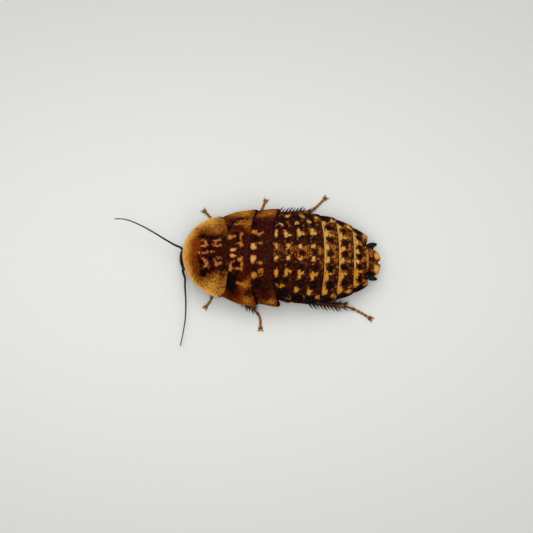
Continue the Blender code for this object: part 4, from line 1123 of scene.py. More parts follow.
def bristle_tree():
    """Short hairs scattered over a surface, leaning one way."""
    growth = Growth("bristles", (("Density", "float"), ("Length", "float"), ("Root radius", "float"),
                                 ("Lean", "vector"), ("Seed", "int"), ("Material", "material")))
    given = growth.given
    scattered = growth.node("GeometryNodeDistributePointsOnFaces",
                            {"Mesh": given["Geometry"], "Density": given["Density"], "Seed": given["Seed"]})
    hair = growth.made("GeometryNodeMeshCone",
                       {"Vertices": 3, "Side Segments": 2, "Radius Top": 0.0,
                        "Radius Bottom": given["Root radius"], "Depth": given["Length"]})
    lean = growth.made("ShaderNodeVectorMath", {0: scattered.outputs["Normal"], 1: given["Lean"]},
                       operation="ADD")
    wild = growth.made("FunctionNodeRandomValue",
                       {0: (-0.3, -0.3, -0.1), 1: (0.3, 0.3, 0.2), "Seed": given["Seed"]},
                       data_type="FLOAT_VECTOR")
    lean = growth.made("ShaderNodeVectorMath", {0: lean, 1: wild}, operation="ADD")
    turn = growth.made("FunctionNodeAlignRotationToVector", {"Vector": lean}, axis="Z")
    size = growth.node("FunctionNodeRandomValue", {2: 0.55, 3: 1.1, "Seed": given["Seed"]},
                       data_type="FLOAT").outputs[1]
    grown = growth.made("GeometryNodeInstanceOnPoints",
                        {"Points": scattered.outputs["Points"], "Instance": hair, "Rotation": turn,
                         "Scale": size})
    return growth.end(grown)


def granule_tree():
    """Low domes scattered over a surface, like shagreen."""
    growth = Growth("granules", (("Density", "float"), ("Radius", "float"), ("Seed", "int"),
                                 ("Material", "material")))
    given = growth.given
    scattered = growth.node("GeometryNodeDistributePointsOnFaces",
                            {"Mesh": given["Geometry"], "Density": given["Density"], "Seed": given["Seed"]})
    dome = growth.made("GeometryNodeMeshUVSphere",
                       {"Segments": 6, "Rings": 4, "Radius": given["Radius"]})
    flat = growth.made("GeometryNodeTransform", {"Geometry": dome, "Scale": (1.0, 1.0, 0.55)})
    turn = growth.made("FunctionNodeAlignRotationToVector", {"Vector": scattered.outputs["Normal"]},
                       axis="Z")
    size = growth.node("FunctionNodeRandomValue", {2: 0.5, 3: 1.2, "Seed": given["Seed"]},
                       data_type="FLOAT").outputs[1]
    grown = growth.made("GeometryNodeInstanceOnPoints",
                        {"Points": scattered.outputs["Points"], "Instance": flat, "Rotation": turn,
                         "Scale": size})
    return growth.end(grown)


def jointed_tree():
    """A tapering feeler of many short joints, pinched between one and the next."""
    growth = Growth("jointed", (("Joints", "int"), ("Root radius", "float"), ("Tip radius", "float"),
                                ("Taper", "float"), ("Pinch", "float"), ("Swell", "float"), ("Sides", "int"),
                                ("Material", "material")))
    given = growth.given
    count = growth.plus(growth.times(given["Joints"], 5.0), 1.0)
    even = growth.made("GeometryNodeResampleCurve", {"Curve": given["Geometry"], "Count": count})
    share = growth.node("GeometryNodeSplineParameter").outputs["Factor"]
    index = growth.node("GeometryNodeSplineParameter").outputs["Index"]
    marked = growth.made("GeometryNodeStoreNamedAttribute",
                         {"Geometry": even, "Name": "along", "Value": share}, data_type="FLOAT")
    bent = growth.maths("POWER", share, given["Taper"])
    drop = growth.times(bent, growth.minus(given["Root radius"], given["Tip radius"]))
    size = growth.minus(given["Root radius"], drop)
    turn = growth.maths("MODULO", index, 5.0)
    swell = growth.times(growth.minus(turn, 4.0), given["Swell"])
    joint = growth.times(growth.maths("LESS_THAN", turn, 0.5), given["Pinch"])
    size = growth.times(size, growth.minus(growth.plus(swell, 1.05), joint))
    sized = growth.made("GeometryNodeSetCurveRadius", {"Curve": marked, "Radius": size})
    circle = growth.made("GeometryNodeCurvePrimitiveCircle",
                         {"Resolution": given["Sides"], "Radius": 1.0})
    made = growth.made("GeometryNodeCurveToMesh",
                       {"Curve": sized, "Profile Curve": circle, "Scale": size, "Fill Caps": True})
    return growth.end(made)


def facet_tree():
    """Six-sided facets, each a low dome, on the surface of an eye."""
    growth = Growth("facets", (("Dome", "float"), ("Share", "float"), ("Material", "material")))
    given = growth.given
    cells = growth.made("GeometryNodeDualMesh", {"Mesh": given["Geometry"]})
    raised = growth.node("GeometryNodeExtrudeMesh",
                         {"Mesh": cells, "Offset Scale": given["Dome"]}, mode="FACES")
    domed = growth.made("GeometryNodeScaleElements",
                        {"Geometry": raised.outputs["Mesh"], "Selection": raised.outputs["Top"],
                         "Scale": given["Share"]})
    return growth.end(domed)


def points_object(name, places, leans, sizes):
    """Loose points that carry a direction and a size, for the thorns."""
    data = bpy.data.meshes.new(name)
    data.from_pydata(placed(places).tolist(), [], [])
    lean = data.attributes.new("lean", "FLOAT_VECTOR", "POINT")
    lean.data.foreach_set("vector", np.asarray(leans, np.float32).ravel())
    size = data.attributes.new("size", "FLOAT", "POINT")
    size.data.foreach_set("value", np.asarray(sizes, np.float32))
    return add_object(name, data)


def curve_object(name, points):
    """An open curve through points in body coordinates."""
    curve = bpy.data.curves.new(name, "CURVE")
    curve.dimensions = "3D"
    spline = curve.splines.new("POLY")
    spline.points.add(len(points) - 1)
    for target, point in zip(spline.points, placed(points)):
        target.co = (*point, 1)
    return add_object(name, curve)


# pieces of the back


def wear(obj, slot, *nodes):
    """Ties a finished piece to the body and hides the solids that it stands for. The slot is not used."""
    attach(obj, BODY)
    if nodes:
        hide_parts(*nodes)
    return obj


def make_shield(finishes):
    """The pronotum: a domed half disc with a flanged rim and its dark mask."""
    rows, columns = 118, 190
    forward = 1 - spread(rows)[:, None]
    v = spread(columns)[None, :] * 2 - 1
    ahead = forward * np.sqrt(1 - v * v / 2)
    aside = v * np.sqrt(1 - forward * forward / 2)
    radius = np.hypot(ahead, aside)
    lean = np.where(radius > 0, ahead / np.maximum(radius, 1e-9), 0) ** PRONOTUM_BLUNTNESS
    y = PRONOTUM_HALF_WIDTH * aside
    bulge = pronotum_hind(y) - PRONOTUM_CORNER
    x = PRONOTUM_CORNER - (PRONOTUM_CORNER - PRONOTUM_FRONT) * radius * lean
    x = x + bulge * (1 - np.minimum(1, ahead / np.maximum(1e-6, np.sqrt(np.clip(1 - aside**2, 0, None)))))
    near = np.clip(1 - PRONOTUM_HALF_WIDTH * np.hypot(ahead, 1 - np.abs(aside)) / CORNER_RADIUS, 0, 1) ** 2
    x, y = x - CORNER_ROUNDING * near, y - np.sign(y) * CORNER_ROUNDING * near
    z = smooth(EDGE_HEIGHTS, x) + smooth(RISES, x) * arch(radius)
    outer = np.stack([x, y + swing(x), z], axis=-1)
    margin = (1 - radius) * PRONOTUM_HALF_WIDTH
    hind = pronotum_hind(y) - x
    relief = ridge(margin, *SHIELD_RIM_BEAD) + ridge(margin, *SHIELD_RIM_GROOVE)
    relief += ridge(hind, *SHIELD_HIND_BEAD) + ripple(x, y, *SHIELD_RIPPLE)
    maroon = blots(x, y, SHIELD_MAROON, 4.0)
    black = blots(x, y, SHIELD_BLACK)
    pale = blots(x, y, SHIELD_PALE)
    relief -= MASK_DEPTH * ease(maroon, 0.0, 0.5)
    wall = wall_thickness(np.minimum(hind, margin), PLATE_THICKNESS)
    made = shell("pronotum_shield", outer, wall, relief, finishes["shield"])
    depth = ease(margin, 0.3, 2.4) * (0.25 + 0.75 * ease(ahead / np.maximum(radius, 1e-9), 0.4, 0.95))
    paint_shell(made, "marks", maroon, black, pale)
    paint_shell(made, "margins", depth, margin, hind)
    return wear(made, "shield", "pronotum")


def wall_thickness(depth, thickness):
    """Thickness of a shell, thinner near its free edge."""
    return LIP_THICKNESS + (thickness - LIP_THICKNESS) * ease(depth, LIP_FROM, LIP_TO)


def band_grid(front, hind, table, length, width, notch=SIDE_NOTCH, reach=1.0, lap=UNDERLAP,
              round_off=SIDE_ROUNDING, tuck=0.0):
    """A grid between two margins of the back, with a lap that runs on under the plate before.

    It gives x, y, z, the half width, and the distances from the hind and the front margin.
    """
    rows = max(14, int((length + lap) / GRID_STEP))
    columns = int(2 * width / GRID_STEP)
    u = (-lap + (length + lap) * spread(rows)[:, None]) / length
    v = spread(columns)[None, :] * 2 - 1
    y = v * width * reach
    for _ in range(5):
        x = front(y) + np.where(u < 0, length, hind(y) - front(y)) * u
        y = v * (smooth(table, x) * reach - notch * (1 - u) ** 3 - round_off * np.clip(u * 5 - 4, 0, 1) ** 2)
    half = smooth(table, x)
    broad = half + tuck * (1 - ease(u, 0.0, 0.8))
    z = smooth(EDGE_HEIGHTS, x) + smooth(RISES, x) * arch(y / broad) - PLATE_STEP * np.clip(1 - u, 0, 1)
    return x, y, z, half, hind(y) - x, x - front(y)


def band_shell(name, grid, relief, finish, thickness=PLATE_THICKNESS):
    x, y, z, _, behind, _ = grid
    outer = np.stack([x, y + swing(x), z], axis=-1)
    return shell(name, outer, wall_thickness(behind, thickness), relief, finish)


def make_winged_plates(finishes):
    """Mesonotum and metanotum, whose hind corners are drawn out into wing pads."""
    plans = (("mesonotum", lambda y: pronotum_hind(y) + SEAM, mesonotum_hind,
              MESO_MAROON, MESO_BLACK, MESO_PALE, MESO_CREAM, MESO_GOLD_HIGHLIGHT),
             ("metanotum", lambda y: mesonotum_hind(y) + SEAM, metanotum_hind,
              META_MAROON, META_BLACK, META_PALE, META_CREAM, META_GOLD_HIGHLIGHT))
    made = []
    for name, front, hind, maroon_rows, black_rows, pale_rows, cream_rows, gold_highlight_rows in plans:
        length, width = PAD_DEPTHS[name], float(smooth(HALF_WIDTHS, PAD_MIDDLES[name]))
        grid = band_grid(front, hind, HALF_WIDTHS, length, width, round_off=PAD_ROUNDING)
        x, y, z, half, behind, before = grid
        share = np.abs(y) / half
        fold_line = PAD_FOLD_SHARES[0] + PAD_FOLD_SHARES[1] * before / length
        relief = ridge((share - fold_line) * half, *PAD_FOLD) * ease(before, 0, 1.0)
        relief += ridge(behind, *PAD_HIND_BEAD) + ripple(x, y, *PAD_RIPPLE)
        relief += VEIN_HEIGHT * np.sin((share - 0.04 * before) * VEIN_CROWDING) * ease(share, 0.6, 0.72)
        side = half - np.abs(y)
        relief += ridge(side, *PAD_SIDE_BEAD)
        maroon = blots(x, y, maroon_rows, 3.0)
        black = blots(x, y, black_rows)
        # A black line along each pad's hind edge, widening outwards: painted shadow in the gap over the plate
        # behind.
        black = np.maximum(black, np.where(share > 0.5, 0.85 * share - 0.28 - behind, -1))
        pale = np.maximum(blots(x, y, pale_rows), CREAM_STEEPNESS * blots(x, y, cream_rows, 2.4))
        flare = np.where(y < 0, -LEFT_FLARE, RIGHT_FLARE) * ease(share, 0.45, 1.0) * ease(before, 0, 3.0)
        flared = (x, y + flare, z, half, behind, before)
        obj = band_shell(name + "_plate", flared, relief, finishes[name])
        paint_shell(obj, "marks", maroon, black, pale)
        # The gold patches, partly a painted highlight, go in the third margin field.
        gold_highlight = blots(x, y, gold_highlight_rows)
        paint_shell(obj, "margins", 1 - ease(share, 0.68, 0.98), side + 0.3, gold_highlight)
        paint_shell(obj, "veins", x * 0.8 + np.abs(y) * 0.6, np.abs(y) * 0.8 - x * 0.6, 0)
        made.append(wear(obj, "back", name))
    return made


def tergite_marks(number, x, y, half, before, length):
    """Fields of the maroon ground, the black spots and the pale blocks of one tergite."""
    share = y / half
    aside = y - smooth(PATTERN_SHIFTS, x) * (1 - share**2)
    stretch, size, delay = SPREADS[number - 1], SPOT_SIZES[number - 1], SPOT_DELAYS[number - 1]

    def growth(part, side):
        if side > 0 or part < 0.6:
            return 1.0
        return LEFT_GROWTH if part > 0.7 else LEFT_SPOT_GROWTHS[number - 1]

    def row(rows, grow, late=1.0, sides=(1, -1)):
        inside = np.full(y.shape, -3.0)
        for part, place, long, wide in rows:
            for side in sides if part else (1,):
                scale = grow * growth(part, side)
                dx, dy = before - place * late, aside - side * part * stretch * half
                reach = (np.abs(dx / long) ** 2.4 + np.abs(dy / wide) ** 2.4) ** (1 / 2.4) / scale
                inside = np.maximum(inside, (1 - reach) * min(long, wide) * scale)
        return inside

    side_spots = np.maximum(row((LEFT_SIDE_SPOT,), 0.9, sides=(-1,)),
                            row((RIGHT_SIDE_SPOT,), 0.9, sides=(1,)))
    black = np.maximum(row(SPOT_ROWS, size, delay), side_spots + 0.1)
    blocks = 0.7 + 0.3 * size
    pale = np.maximum(row(BLOCK_ROWS, blocks), row((SIDE_BLOCK,), blocks * SIDE_BLOCK_SIZES[number - 1]))
    if number > 1:
        pale = np.maximum(pale, row((BLOCK_BRANCH,), blocks))
    if number >= BAND_FROM_TERGITE:
        band = np.minimum(BAND_DEPTH - SEAM - before, (BAND_REACH - np.abs(share)) * half)
        pale = np.maximum(pale, band)
    if number == len(TERGITE_HINDS):
        edge = np.minimum(0.24 - np.abs(length - before - 0.16), 2.4 - np.abs(y - TAIL_SHIFT))
        pale = np.maximum(pale, edge)
        black = np.maximum(black, blots(before, np.abs(y) - 3.2, ((length - 0.5, 0, 0.5, 0.6),)))
    corner = blots(before, np.abs(y) - CORNER_PALE_SHARE * half, ((length - 0.55, 0, 0.5, 0.35),))
    speckle = np.maximum(ridge(share, *SPECKLED_STRIP), LIGHT_SHARES[number - 1])
    # The left side gets fewer pale speckles and a field that deepens its gold: painted shade on the side away
    # from the light.
    left = ease(-share, 0.08, 0.35)
    speckle = speckle * (1 - LEFT_SHADE_SPECKLE_LOSS * left)
    return np.full(y.shape, 0.9), black, np.maximum(pale, corner), speckle, 1 + left


def make_tergites(finishes):
    """The seven large tergites, lapped like tiles, each with its rows of spots."""
    made = []
    for number, hind_place in enumerate(TERGITE_HINDS, 1):
        before_it = TERGITE_HINDS[number - 2] if number > 1 else METANOTUM_HIND
        length = hind_place - before_it - SEAM

        def hind(y, n=number):
            return tergite_hind(n, y)

        def front(y, n=number):
            if n == 1:
                return metanotum_hind(y) + SEAM
            if n == 2:
                return np.maximum(tergite_hind(1, y), metanotum_hind(y) + PAD_FREE_STRIP) + SEAM
            return tergite_hind(n - 1, y) + SEAM

        width = float(smooth(ABDOMEN_HALF_WIDTHS, hind_place - 1))
        first = number == 1
        grid = band_grid(front, hind, HALF_WIDTHS if first else ABDOMEN_HALF_WIDTHS, length, width,
                         0.0 if first else SIDE_NOTCH, TERGITE_1_REACH if first else 1.0,
                         tuck=PAD_TUCK if number == 2 else 0.0)
        x, y, _, half, behind, before = grid
        maroon, black, pale, speckle, left_shade = tergite_marks(number, x, y, half, before, length)
        height, size, seed = TERGITE_RIPPLE
        relief = ridge(behind, *TERGITE_HIND_BEAD) + ripple(x, y, height, size, seed + number)
        relief += ridge(before, *TERGITE_GROOVE)
        relief += np.cos(y / CRENEL_PITCH * 2 * math.pi) * ridge(behind, *CRENELS)
        obj = band_shell(f"tergite_{number}_plate", grid, relief, finishes["tergite"])
        paint_shell(obj, "marks", maroon, black, pale)
        paint_shell(obj, "margins", speckle, left_shade, behind)
        made.append(wear(obj, "back", f"tergite_{number}"))
    return made


def make_tail(finishes):
    """The short band of tergites eight and nine, and the two-lobed plate behind it."""
    last = len(TERGITE_HINDS)
    grid = band_grid(lambda y: tergite_hind(last, y) + SEAM, lambda y: TAIL_BAND_HIND + 0.35 + y * 0,
                     ABDOMEN_HALF_WIDTHS, 0.7, float(smooth(ABDOMEN_HALF_WIDTHS, TAIL_BAND_HIND)),
                     0.0, TAIL_BAND_REACH + 0.12, 0.5)
    x, y, _, _, behind, _ = grid
    band = band_shell("tergite_8_9_plate", grid, ripple(x, y, *TAIL_BAND_RIPPLE), finishes["tail"], 0.4)
    paint_shell(band, "marks", 0.5, np.abs(y) - 2.2, -1)
    paint_shell(band, "margins", 0.45, 1, behind)
    u = spread(54)[:, None]
    v = spread(90)[None, :] * 2 - 1
    rounding = 1 - (1 - np.abs(v) ** 2.6) ** (1 / 2.6)
    hind = TAIL_TIP - TAIL_PLATE_ROUNDING * rounding - ridge(v, 0.0, TAIL_NOTCH_SHARE, TAIL_NOTCH)
    front = TAIL_BAND_HIND - 0.35
    x = front + (hind - front) * u
    y = v * TAIL_PLATE_HALF_WIDTH + 0 * x
    z = TAIL_PLATE_EDGE + TAIL_PLATE_RISE * arch(v * 0.92) * (1 - 0.35 * u) - 0.1
    relief = ridge(y, *TAIL_FURROW) * ease(u, 0.2, 0.8) + ripple(x, y, *TAIL_RIPPLE)
    outer = np.stack([x, y + swing(x) + TAIL_SHIFT, z], axis=-1)
    plate = shell("supra_anal_lobes", outer, 0.3 + 0 * x, relief, finishes["tail"])
    black = blots(x, y, TAIL_BLACK)
    pale = blots(x, y, both_sides(TAIL_PALE))
    paint_shell(plate, "marks", 0.5, black, pale)
    paint_shell(plate, "margins", 0.35, 1, x * 0 + 1)
    return [wear(band, "back", "tergite_8_9"), wear(plate, "back", "supra_anal_plate")]


# trunk


def under_plate(x, y, cover):
    """Height of the trunk's roof: the underside of the plates less a gap."""
    rise = smooth(RISES, x)
    step = 0.02
    slope = rise * (arch(np.abs(y) / cover - step) - arch(np.abs(y) / cover + step)) / (2 * step * cover)
    return smooth(EDGE_HEIGHTS, x) + rise * arch(y / cover) - TRUNK_GAP * np.sqrt(1 + slope * slope)


def ring_stack(name, ring_points, finish):
    """A closed solid through rings of points, from front to back."""
    count, sides, _ = ring_points.shape
    ends = [ring_points[0].mean(0), ring_points[-1].mean(0)]
    points = np.vstack([ring_points.reshape(-1, 3), ends])
    return mesh_object(name, points, capped_faces(count, sides), finish)


def make_abdomen(finishes):
    """The trunk behind the thorax, with seven sternites that step like tiles below."""
    stations = []
    start = METANOTUM_HIND + 0.1
    for hind in STERNITE_HINDS:
        for share in np.concatenate([np.linspace(0, 0.9, 9), [0.94, 0.97, 0.99, 1.0]]):
            stations.append((start + (hind - start) * share, share))
        start = hind + 0.03
    x = np.array([place for place, _ in stations])[:, None]
    share = np.array([part for _, part in stations])[:, None]
    turn = around(72)[None, :]
    t = np.cos(turn)
    cover = smooth(ABDOMEN_HALF_WIDTHS, x)
    half = cover - TRUNK_INSET - TRUNK_NARROWING * np.clip(x - TRUNK_NARROWS, 0, None)
    lip = STERNITE_STEP * (ease(share, 0.0, 0.75) - 0.5) * np.where(share > 0.96, 1 - (share - 0.96) * 9, 1)
    belly = smooth(BELLY_HEIGHTS, x) - lip
    roof = under_plate(x, half * t, cover)
    side = np.minimum(BELLY_SIDE_HEIGHT, under_plate(x, half, cover) - 0.3) - 0.5 * lip
    floor = belly + (side - belly) * np.abs(t) ** 1.8
    floor = floor - ridge(np.abs(t), 0.9, 0.05, 0.05)
    blend = ease(np.abs(np.sin(turn)), 0.0, 0.12)
    middle = (roof + floor) / 2
    z = np.where(np.sin(turn) >= 0, middle + (roof - middle) * blend, middle + (floor - middle) * blend)
    points = np.stack([x + 0 * t, half * t + swing(x), z], axis=-1)
    made = ring_stack("abdomen_trunk", points, finishes["belly"])
    return wear(made, "belly", "abdomen")


def make_thorax(finishes):
    """Three trunk pieces under the shield and the winged plates."""
    made = []
    for name, (front, hind) in TRUNK_PIECES.items():
        x = np.linspace(front, hind, 40)[:, None]
        turn = around(56)[None, :]
        half = smooth(THORAX_STATIONS, x)
        ahead = np.clip((PRONOTUM_CORNER - x) / (PRONOTUM_CORNER - PRONOTUM_FRONT), 0, None)
        shield = name == "prothorax"
        cover = PRONOTUM_HALF_WIDTH if shield else smooth(HALF_WIDTHS, x)
        floor = THORAX_BELLY - NECK_DROP * np.clip(ahead - NECK_FROM, 0, None) / (1 - NECK_FROM)
        y = half * np.cos(turn)
        radius = np.hypot(ahead, y / cover) if shield else y / cover
        roof = smooth(EDGE_HEIGHTS, x) + smooth(RISES, x) * arch(radius) - THORAX_DROP
        ends = rounded(np.minimum(x - front, hind - x) / 0.3, 0.3)
        middle = (roof + floor) / 2
        height = np.where(np.sin(turn) > 0, roof, floor)
        bulge = np.sin(math.pi * (x - front) / (hind - front))
        keel = ridge(y, 0.0, 0.5, 0.22) * (np.sin(turn) < 0) * bulge
        z = middle + (height - middle) * np.abs(np.sin(turn)) ** 0.6 * ends - keel
        points = np.stack([x + 0 * y, y * ends + swing(x), z], axis=-1)
        piece = ring_stack(f"{name}_trunk", points, finishes["belly"])
        made.append(wear(piece, "belly", name))
    return made


# head


def head_axes():
    """Along the head from vertex to mouth, to the right, and out of the face."""
    along = unit(MOUTH - VERTEX)
    right = np.array((0.0, 1.0, 0.0))
    face = np.cross(along, right)
    return along, right, -face if face[2] > 0 else face


def on_head(share, aside, out):
    """A point near the head: a share of its length, and millimetres to the right and out of the face."""
    _, right, face = head_axes()
    return VERTEX + (MOUTH - VERTEX) * share + right * aside + face * out


def make_head(finishes, facets):
    """The capsule, with its sutures, and eyes, ocellar spots and antennal sockets."""
    _, right, face = head_axes()
    share = HEAD_SECTIONS[0][0] + (HEAD_SECTIONS[-1][0] - HEAD_SECTIONS[0][0]) * spread(70, 0.8)
    wide = smooth([(s, w) for s, w, _ in HEAD_SECTIONS], share)
    deep = smooth([(s, d) for s, _, d in HEAD_SECTIONS], share)
    length = np.linalg.norm(MOUTH - VERTEX)
    edge = np.minimum((share - share[0]) * length / HEAD_CAP,
                      (share[-1] - share) * length / HEAD_HIND_ROUNDING)
    wide, deep = wide * rounded(edge), deep * rounded(edge)
    turn = around(84)
    centres = VERTEX + (MOUTH - VERTEX) * share[:, None]
    aside = wide[:, None] * np.cos(turn)
    out = deep[:, None] * np.sin(turn)
    front = np.clip(np.sin(turn), 0, 1)[None, :]
    s = share[:, None]
    fork = np.abs(aside) - np.clip((s - 0.22) * 2.6, 0, None)
    lift = ridge(fork, 0.0, 0.05, -0.05) * ease(s, -0.2, -0.1) * ease(-s, -0.46, -0.4)
    lift = lift + ridge(s, 0.72 + 0.03 * aside**2, 0.018, -0.07) * ease(front, 0.2, 0.6)
    lift = lift + 0.09 * np.exp(-((aside / 0.8) ** 2 + ((s - 0.55) / 0.16) ** 2)) * front
    lift = lift - 0.1 * np.exp(-(((np.abs(aside) - 1.15) / 0.3) ** 2 + ((s - 0.2) / 0.08) ** 2)) * front
    lift = lift * ease(edge, 0.3, 1.0)[:, None]
    ring = right * aside[..., None] + face * (out + lift * np.sign(out))[..., None]
    points = centres[:, None] + ring
    head = ring_stack("head_capsule", points[:, ::-1], finishes["head"])
    made = [wear(head, "dark", "head")]
    for side, sign in SIDES.items():
        made.append(make_eye(side, sign, finishes, facets))
        spot = on_head(*(OCELLUS_SEAT * np.array((1, sign, 1))))
        made.append(dome(f"ocellus_{side}", spot, face, 0.17, 0.1, finishes["ocellus"]))
        wear(made[-1], "dark")
        root, elbow = scape_ends(side)
        aim = unit(elbow - root)
        made.append(dome(f"antennal_base_{side}", root - aim * 0.1, aim, 0.55, 0.3, finishes["head"]))
        wear(made[-1], "dark")
        made.append(collar(f"antennal_socket_{side}", root + aim * 0.17, aim, 0.33, 0.09, finishes["joint"]))
        wear(made[-1], "dark")
    made.append(limb("neck", on_head(0.4, 0, -0.4), np.array(NECK_END), NECK_SHAPE, NECK_RADII,
                     finishes["membrane"], 60, 48))
    wear(made[-1], "belly")
    return made


def ellipsoid(centre, axes, radii, rows=60, columns=90):
    """Rings of an egg-shaped surface with its three half axes along the given directions."""
    turn = around(columns)[None, :]
    lean = np.linspace(0.02, math.pi - 0.02, rows)[:, None]
    parts = (np.cos(lean) + 0 * turn, np.sin(lean) * np.cos(turn), np.sin(lean) * np.sin(turn))
    return np.asarray(centre) + sum(np.asarray(axis) * radius * part[..., None]
                                    for axis, radius, part in zip(axes, radii, parts))


def make_eye(side, sign, finishes, facets):
    """An egg-shaped eye covered with domed facets."""
    centre = on_head(EYE_ALONG, sign * EYE_OUT, -EYE_BACK)
    turn = np.stack(head_axes(), axis=1) * np.asarray(EYE_SEMI_AXES)
    ball = bmesh.new()
    bmesh.ops.create_icosphere(ball, subdivisions=EYE_SUBDIVISIONS, radius=1)
    if np.linalg.det(turn) < 0:
        bmesh.ops.reverse_faces(ball, faces=ball.faces)
    for vertex in ball.verts:
        vertex.co = Vector(placed(centre + turn @ np.array(vertex.co)))
    data = bpy.data.meshes.new(f"eye_{side}_facets")
    ball.to_mesh(data)
    ball.free()
    eye = add_object(data.name, data)
    grow(eye, facets, **{"Dome": 0.012 * MM, "Share": 0.55, "Material": finishes["eye"]})
    return wear(eye, "eye", f"eye_{side}")


def dome(name, centre, normal, radius, height, finish):
    """A small rounded cap."""
    normal = unit(normal)
    across = unit(np.cross(normal, (0.3, 1.0, 0.2)))
    points = ellipsoid(centre, (normal, across, np.cross(normal, across)), (height, radius, radius), 10, 16)
    return ring_stack(name, points[:, ::-1], finish)


def collar(name, centre, axis, radius, thickness, finish):
    """A ring-shaped rim round the root of a feeler."""
    axis = unit(axis)
    across = unit(np.cross(axis, UP))
    upward = np.cross(across, axis)
    large = around(28)[:, None, None]
    small = around(12)[None, :, None]
    spoke = across * np.cos(large) + upward * np.sin(large)
    points = centre + spoke * (radius + thickness * np.cos(small)) + axis * thickness * np.sin(small)
    faces = []
    for i in range(28):
        for j in range(12):
            a, b = i * 12 + j, i * 12 + (j + 1) % 12
            c, d = ((i + 1) % 28) * 12 + (j + 1) % 12, ((i + 1) % 28) * 12 + j
            faces.append((a, b, c, d))
    return mesh_object(name, points.reshape(-1, 3), faces, finish)


def make_mouth(finishes):
    """Clypeus, labrum, two toothed mandibles and the labium below them."""
    along, right, face = head_axes()
    made = []
    for name, share, out, radii in MOUTH_FLAPS:
        points = ellipsoid(on_head(share, 0, out), (along, right, face), radii, 26, 44)
        notch = ridge((points - on_head(share, 0, out)) @ right, 0.0, 0.18, 0.35)
        ahead = np.clip((points - on_head(share, 0, out)) @ along, 0, None)
        points = points - along * (notch * ahead)[..., None]
        made.append(wear(ring_stack(name, points[:, ::-1], finishes["face"]), "dark"))
    for side, sign in SIDES.items():
        centres = route([on_head(share, aside * sign, out) for share, aside, out in MANDIBLE], 40)
        s = np.linspace(0, 1, 40)
        size = 0.4 * (1 - s) ** 0.6 * (1 + 0.14 * np.sin(s * 26)) + 0.02
        jaw = tube(f"mandible_{side}", centres, size, size * 0.65, finishes["head"], 20, face)
        made.append(wear(jaw, "dark"))
    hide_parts("mouthparts")
    return made


def scape_ends(side):
    """The scape's root on the face, and the elbow where the rest of the feeler begins."""
    sign = SIDES[side]
    share, aside, out = SCAPE_SEAT
    return on_head(share, aside * sign, out), SCAPE_ELBOW * (1, sign, 1)


def make_feelers(finishes, jointed, thorns):
    """Antennae, palps and cerci, all of many small joints."""
    made = []

    def feeler(name, points, root, tip, taper, pinch, swell, joints, sides, finish, slot, *nodes):
        obj = curve_object(name, points)
        obj = grow(obj, jointed, **{"Joints": joints, "Root radius": root * MM, "Tip radius": tip * MM,
                                    "Taper": taper, "Pinch": pinch, "Swell": swell, "Sides": sides,
                                    "Material": finishes[finish]})
        made.append(wear(obj, slot, *nodes))

    for side, sign in SIDES.items():
        root, elbow = scape_ends(side)
        first, second = np.array(ANTENNA_ROUTES[side][:2])
        scape = limb(f"scape_{side}", root, elbow, SCAPE_SHAPE, (SCAPE_RADIUS, SCAPE_RADIUS),
                     finishes["head"])
        made.append(wear(scape, "dark", f"antenna_{side}_scape"))
        pedicel = limb(f"pedicel_{side}", elbow - unit(first - elbow) * 0.12,
                       first + unit(second - first) * 0.1, PEDICEL_SHAPE,
                       (PEDICEL_RADIUS, PEDICEL_RADIUS), finishes["head"], 30, 20)
        made.append(wear(pedicel, "dark"))
        feeler(f"flagellum_{side}", route(ANTENNA_ROUTES[side], 120), ANTENNA_ROOT_RADIUS,
               ANTENNA_TIP_RADIUS, *FLAGELLUM_FORM, ANTENNA_JOINTS, 10, "feeler", "dark",
               f"antenna_{side}_flagellum")
        palp = [(x, y * sign, z) for x, y, z in PALP_ROUTE]
        feeler(f"maxillary_palp_{side}", route(palp, 30), PALP_RADIUS, PALP_TIP_RADIUS, *PALP_FORM,
               PALP_JOINTS, 16, "palp", "dark", f"palp_{side}")
        small = [on_head(share, aside * sign, out) for share, aside, out in LABIAL_PALP]
        feeler(f"labial_palp_{side}", route(small, 16), *LABIAL_PALP_RADII, *PALP_FORM,
               LABIAL_PALP_JOINTS, 12, "palp", "dark")
        shift = np.array((0, float(swing(CERCUS_ROOT[0])), 0))
        start = CERCUS_ROOT * (1, sign, 1) + shift
        end = CERCUS_TIP * (1, sign, 1) + shift
        bend = (start + end) / 2 + np.array((0.0, 0.12 * sign, 0.06))
        feeler(f"cercus_form_{side}", route((start, bend, end), 30), CERCUS_RADIUS, CERCUS_TIP_RADIUS,
               *CERCUS_FORM, CERCUS_JOINTS, 20, "cercus", "dark", f"cercus_{side}")
        made.append(cercus_hairs(side, start, end, thorns, finishes))
    return made


def cercus_hairs(side, start, end, thorns, finishes):
    """Long fine hairs that stand off a tail feeler."""
    along = unit(end - start)
    across = unit(np.cross(along, UP))
    upward = np.cross(across, along)
    random = np.random.default_rng(7)
    places, leans, sizes = [], [], []
    for share in np.linspace(0.12, 0.95, 16):
        for angle in random.uniform(0, 2 * math.pi, 5):
            out = across * math.cos(angle) + upward * math.sin(angle)
            places.append(start + (end - start) * share + out * CERCUS_RADIUS * 0.7 * (1 - share**4))
            leans.append(out + along * 0.6)
            sizes.append(random.uniform(0.6, 1.2))
    obj = points_object(f"cercus_hairs_{side}", places, leans, sizes)
    grow(obj, thorns, **{"Length": 0.42 * MM, "Root radius": 0.014 * MM, "Bend": 0.05 * MM, "Sides": 3,
                         "Material": finishes["hair"]})
    return wear(obj, "dark")


# legs


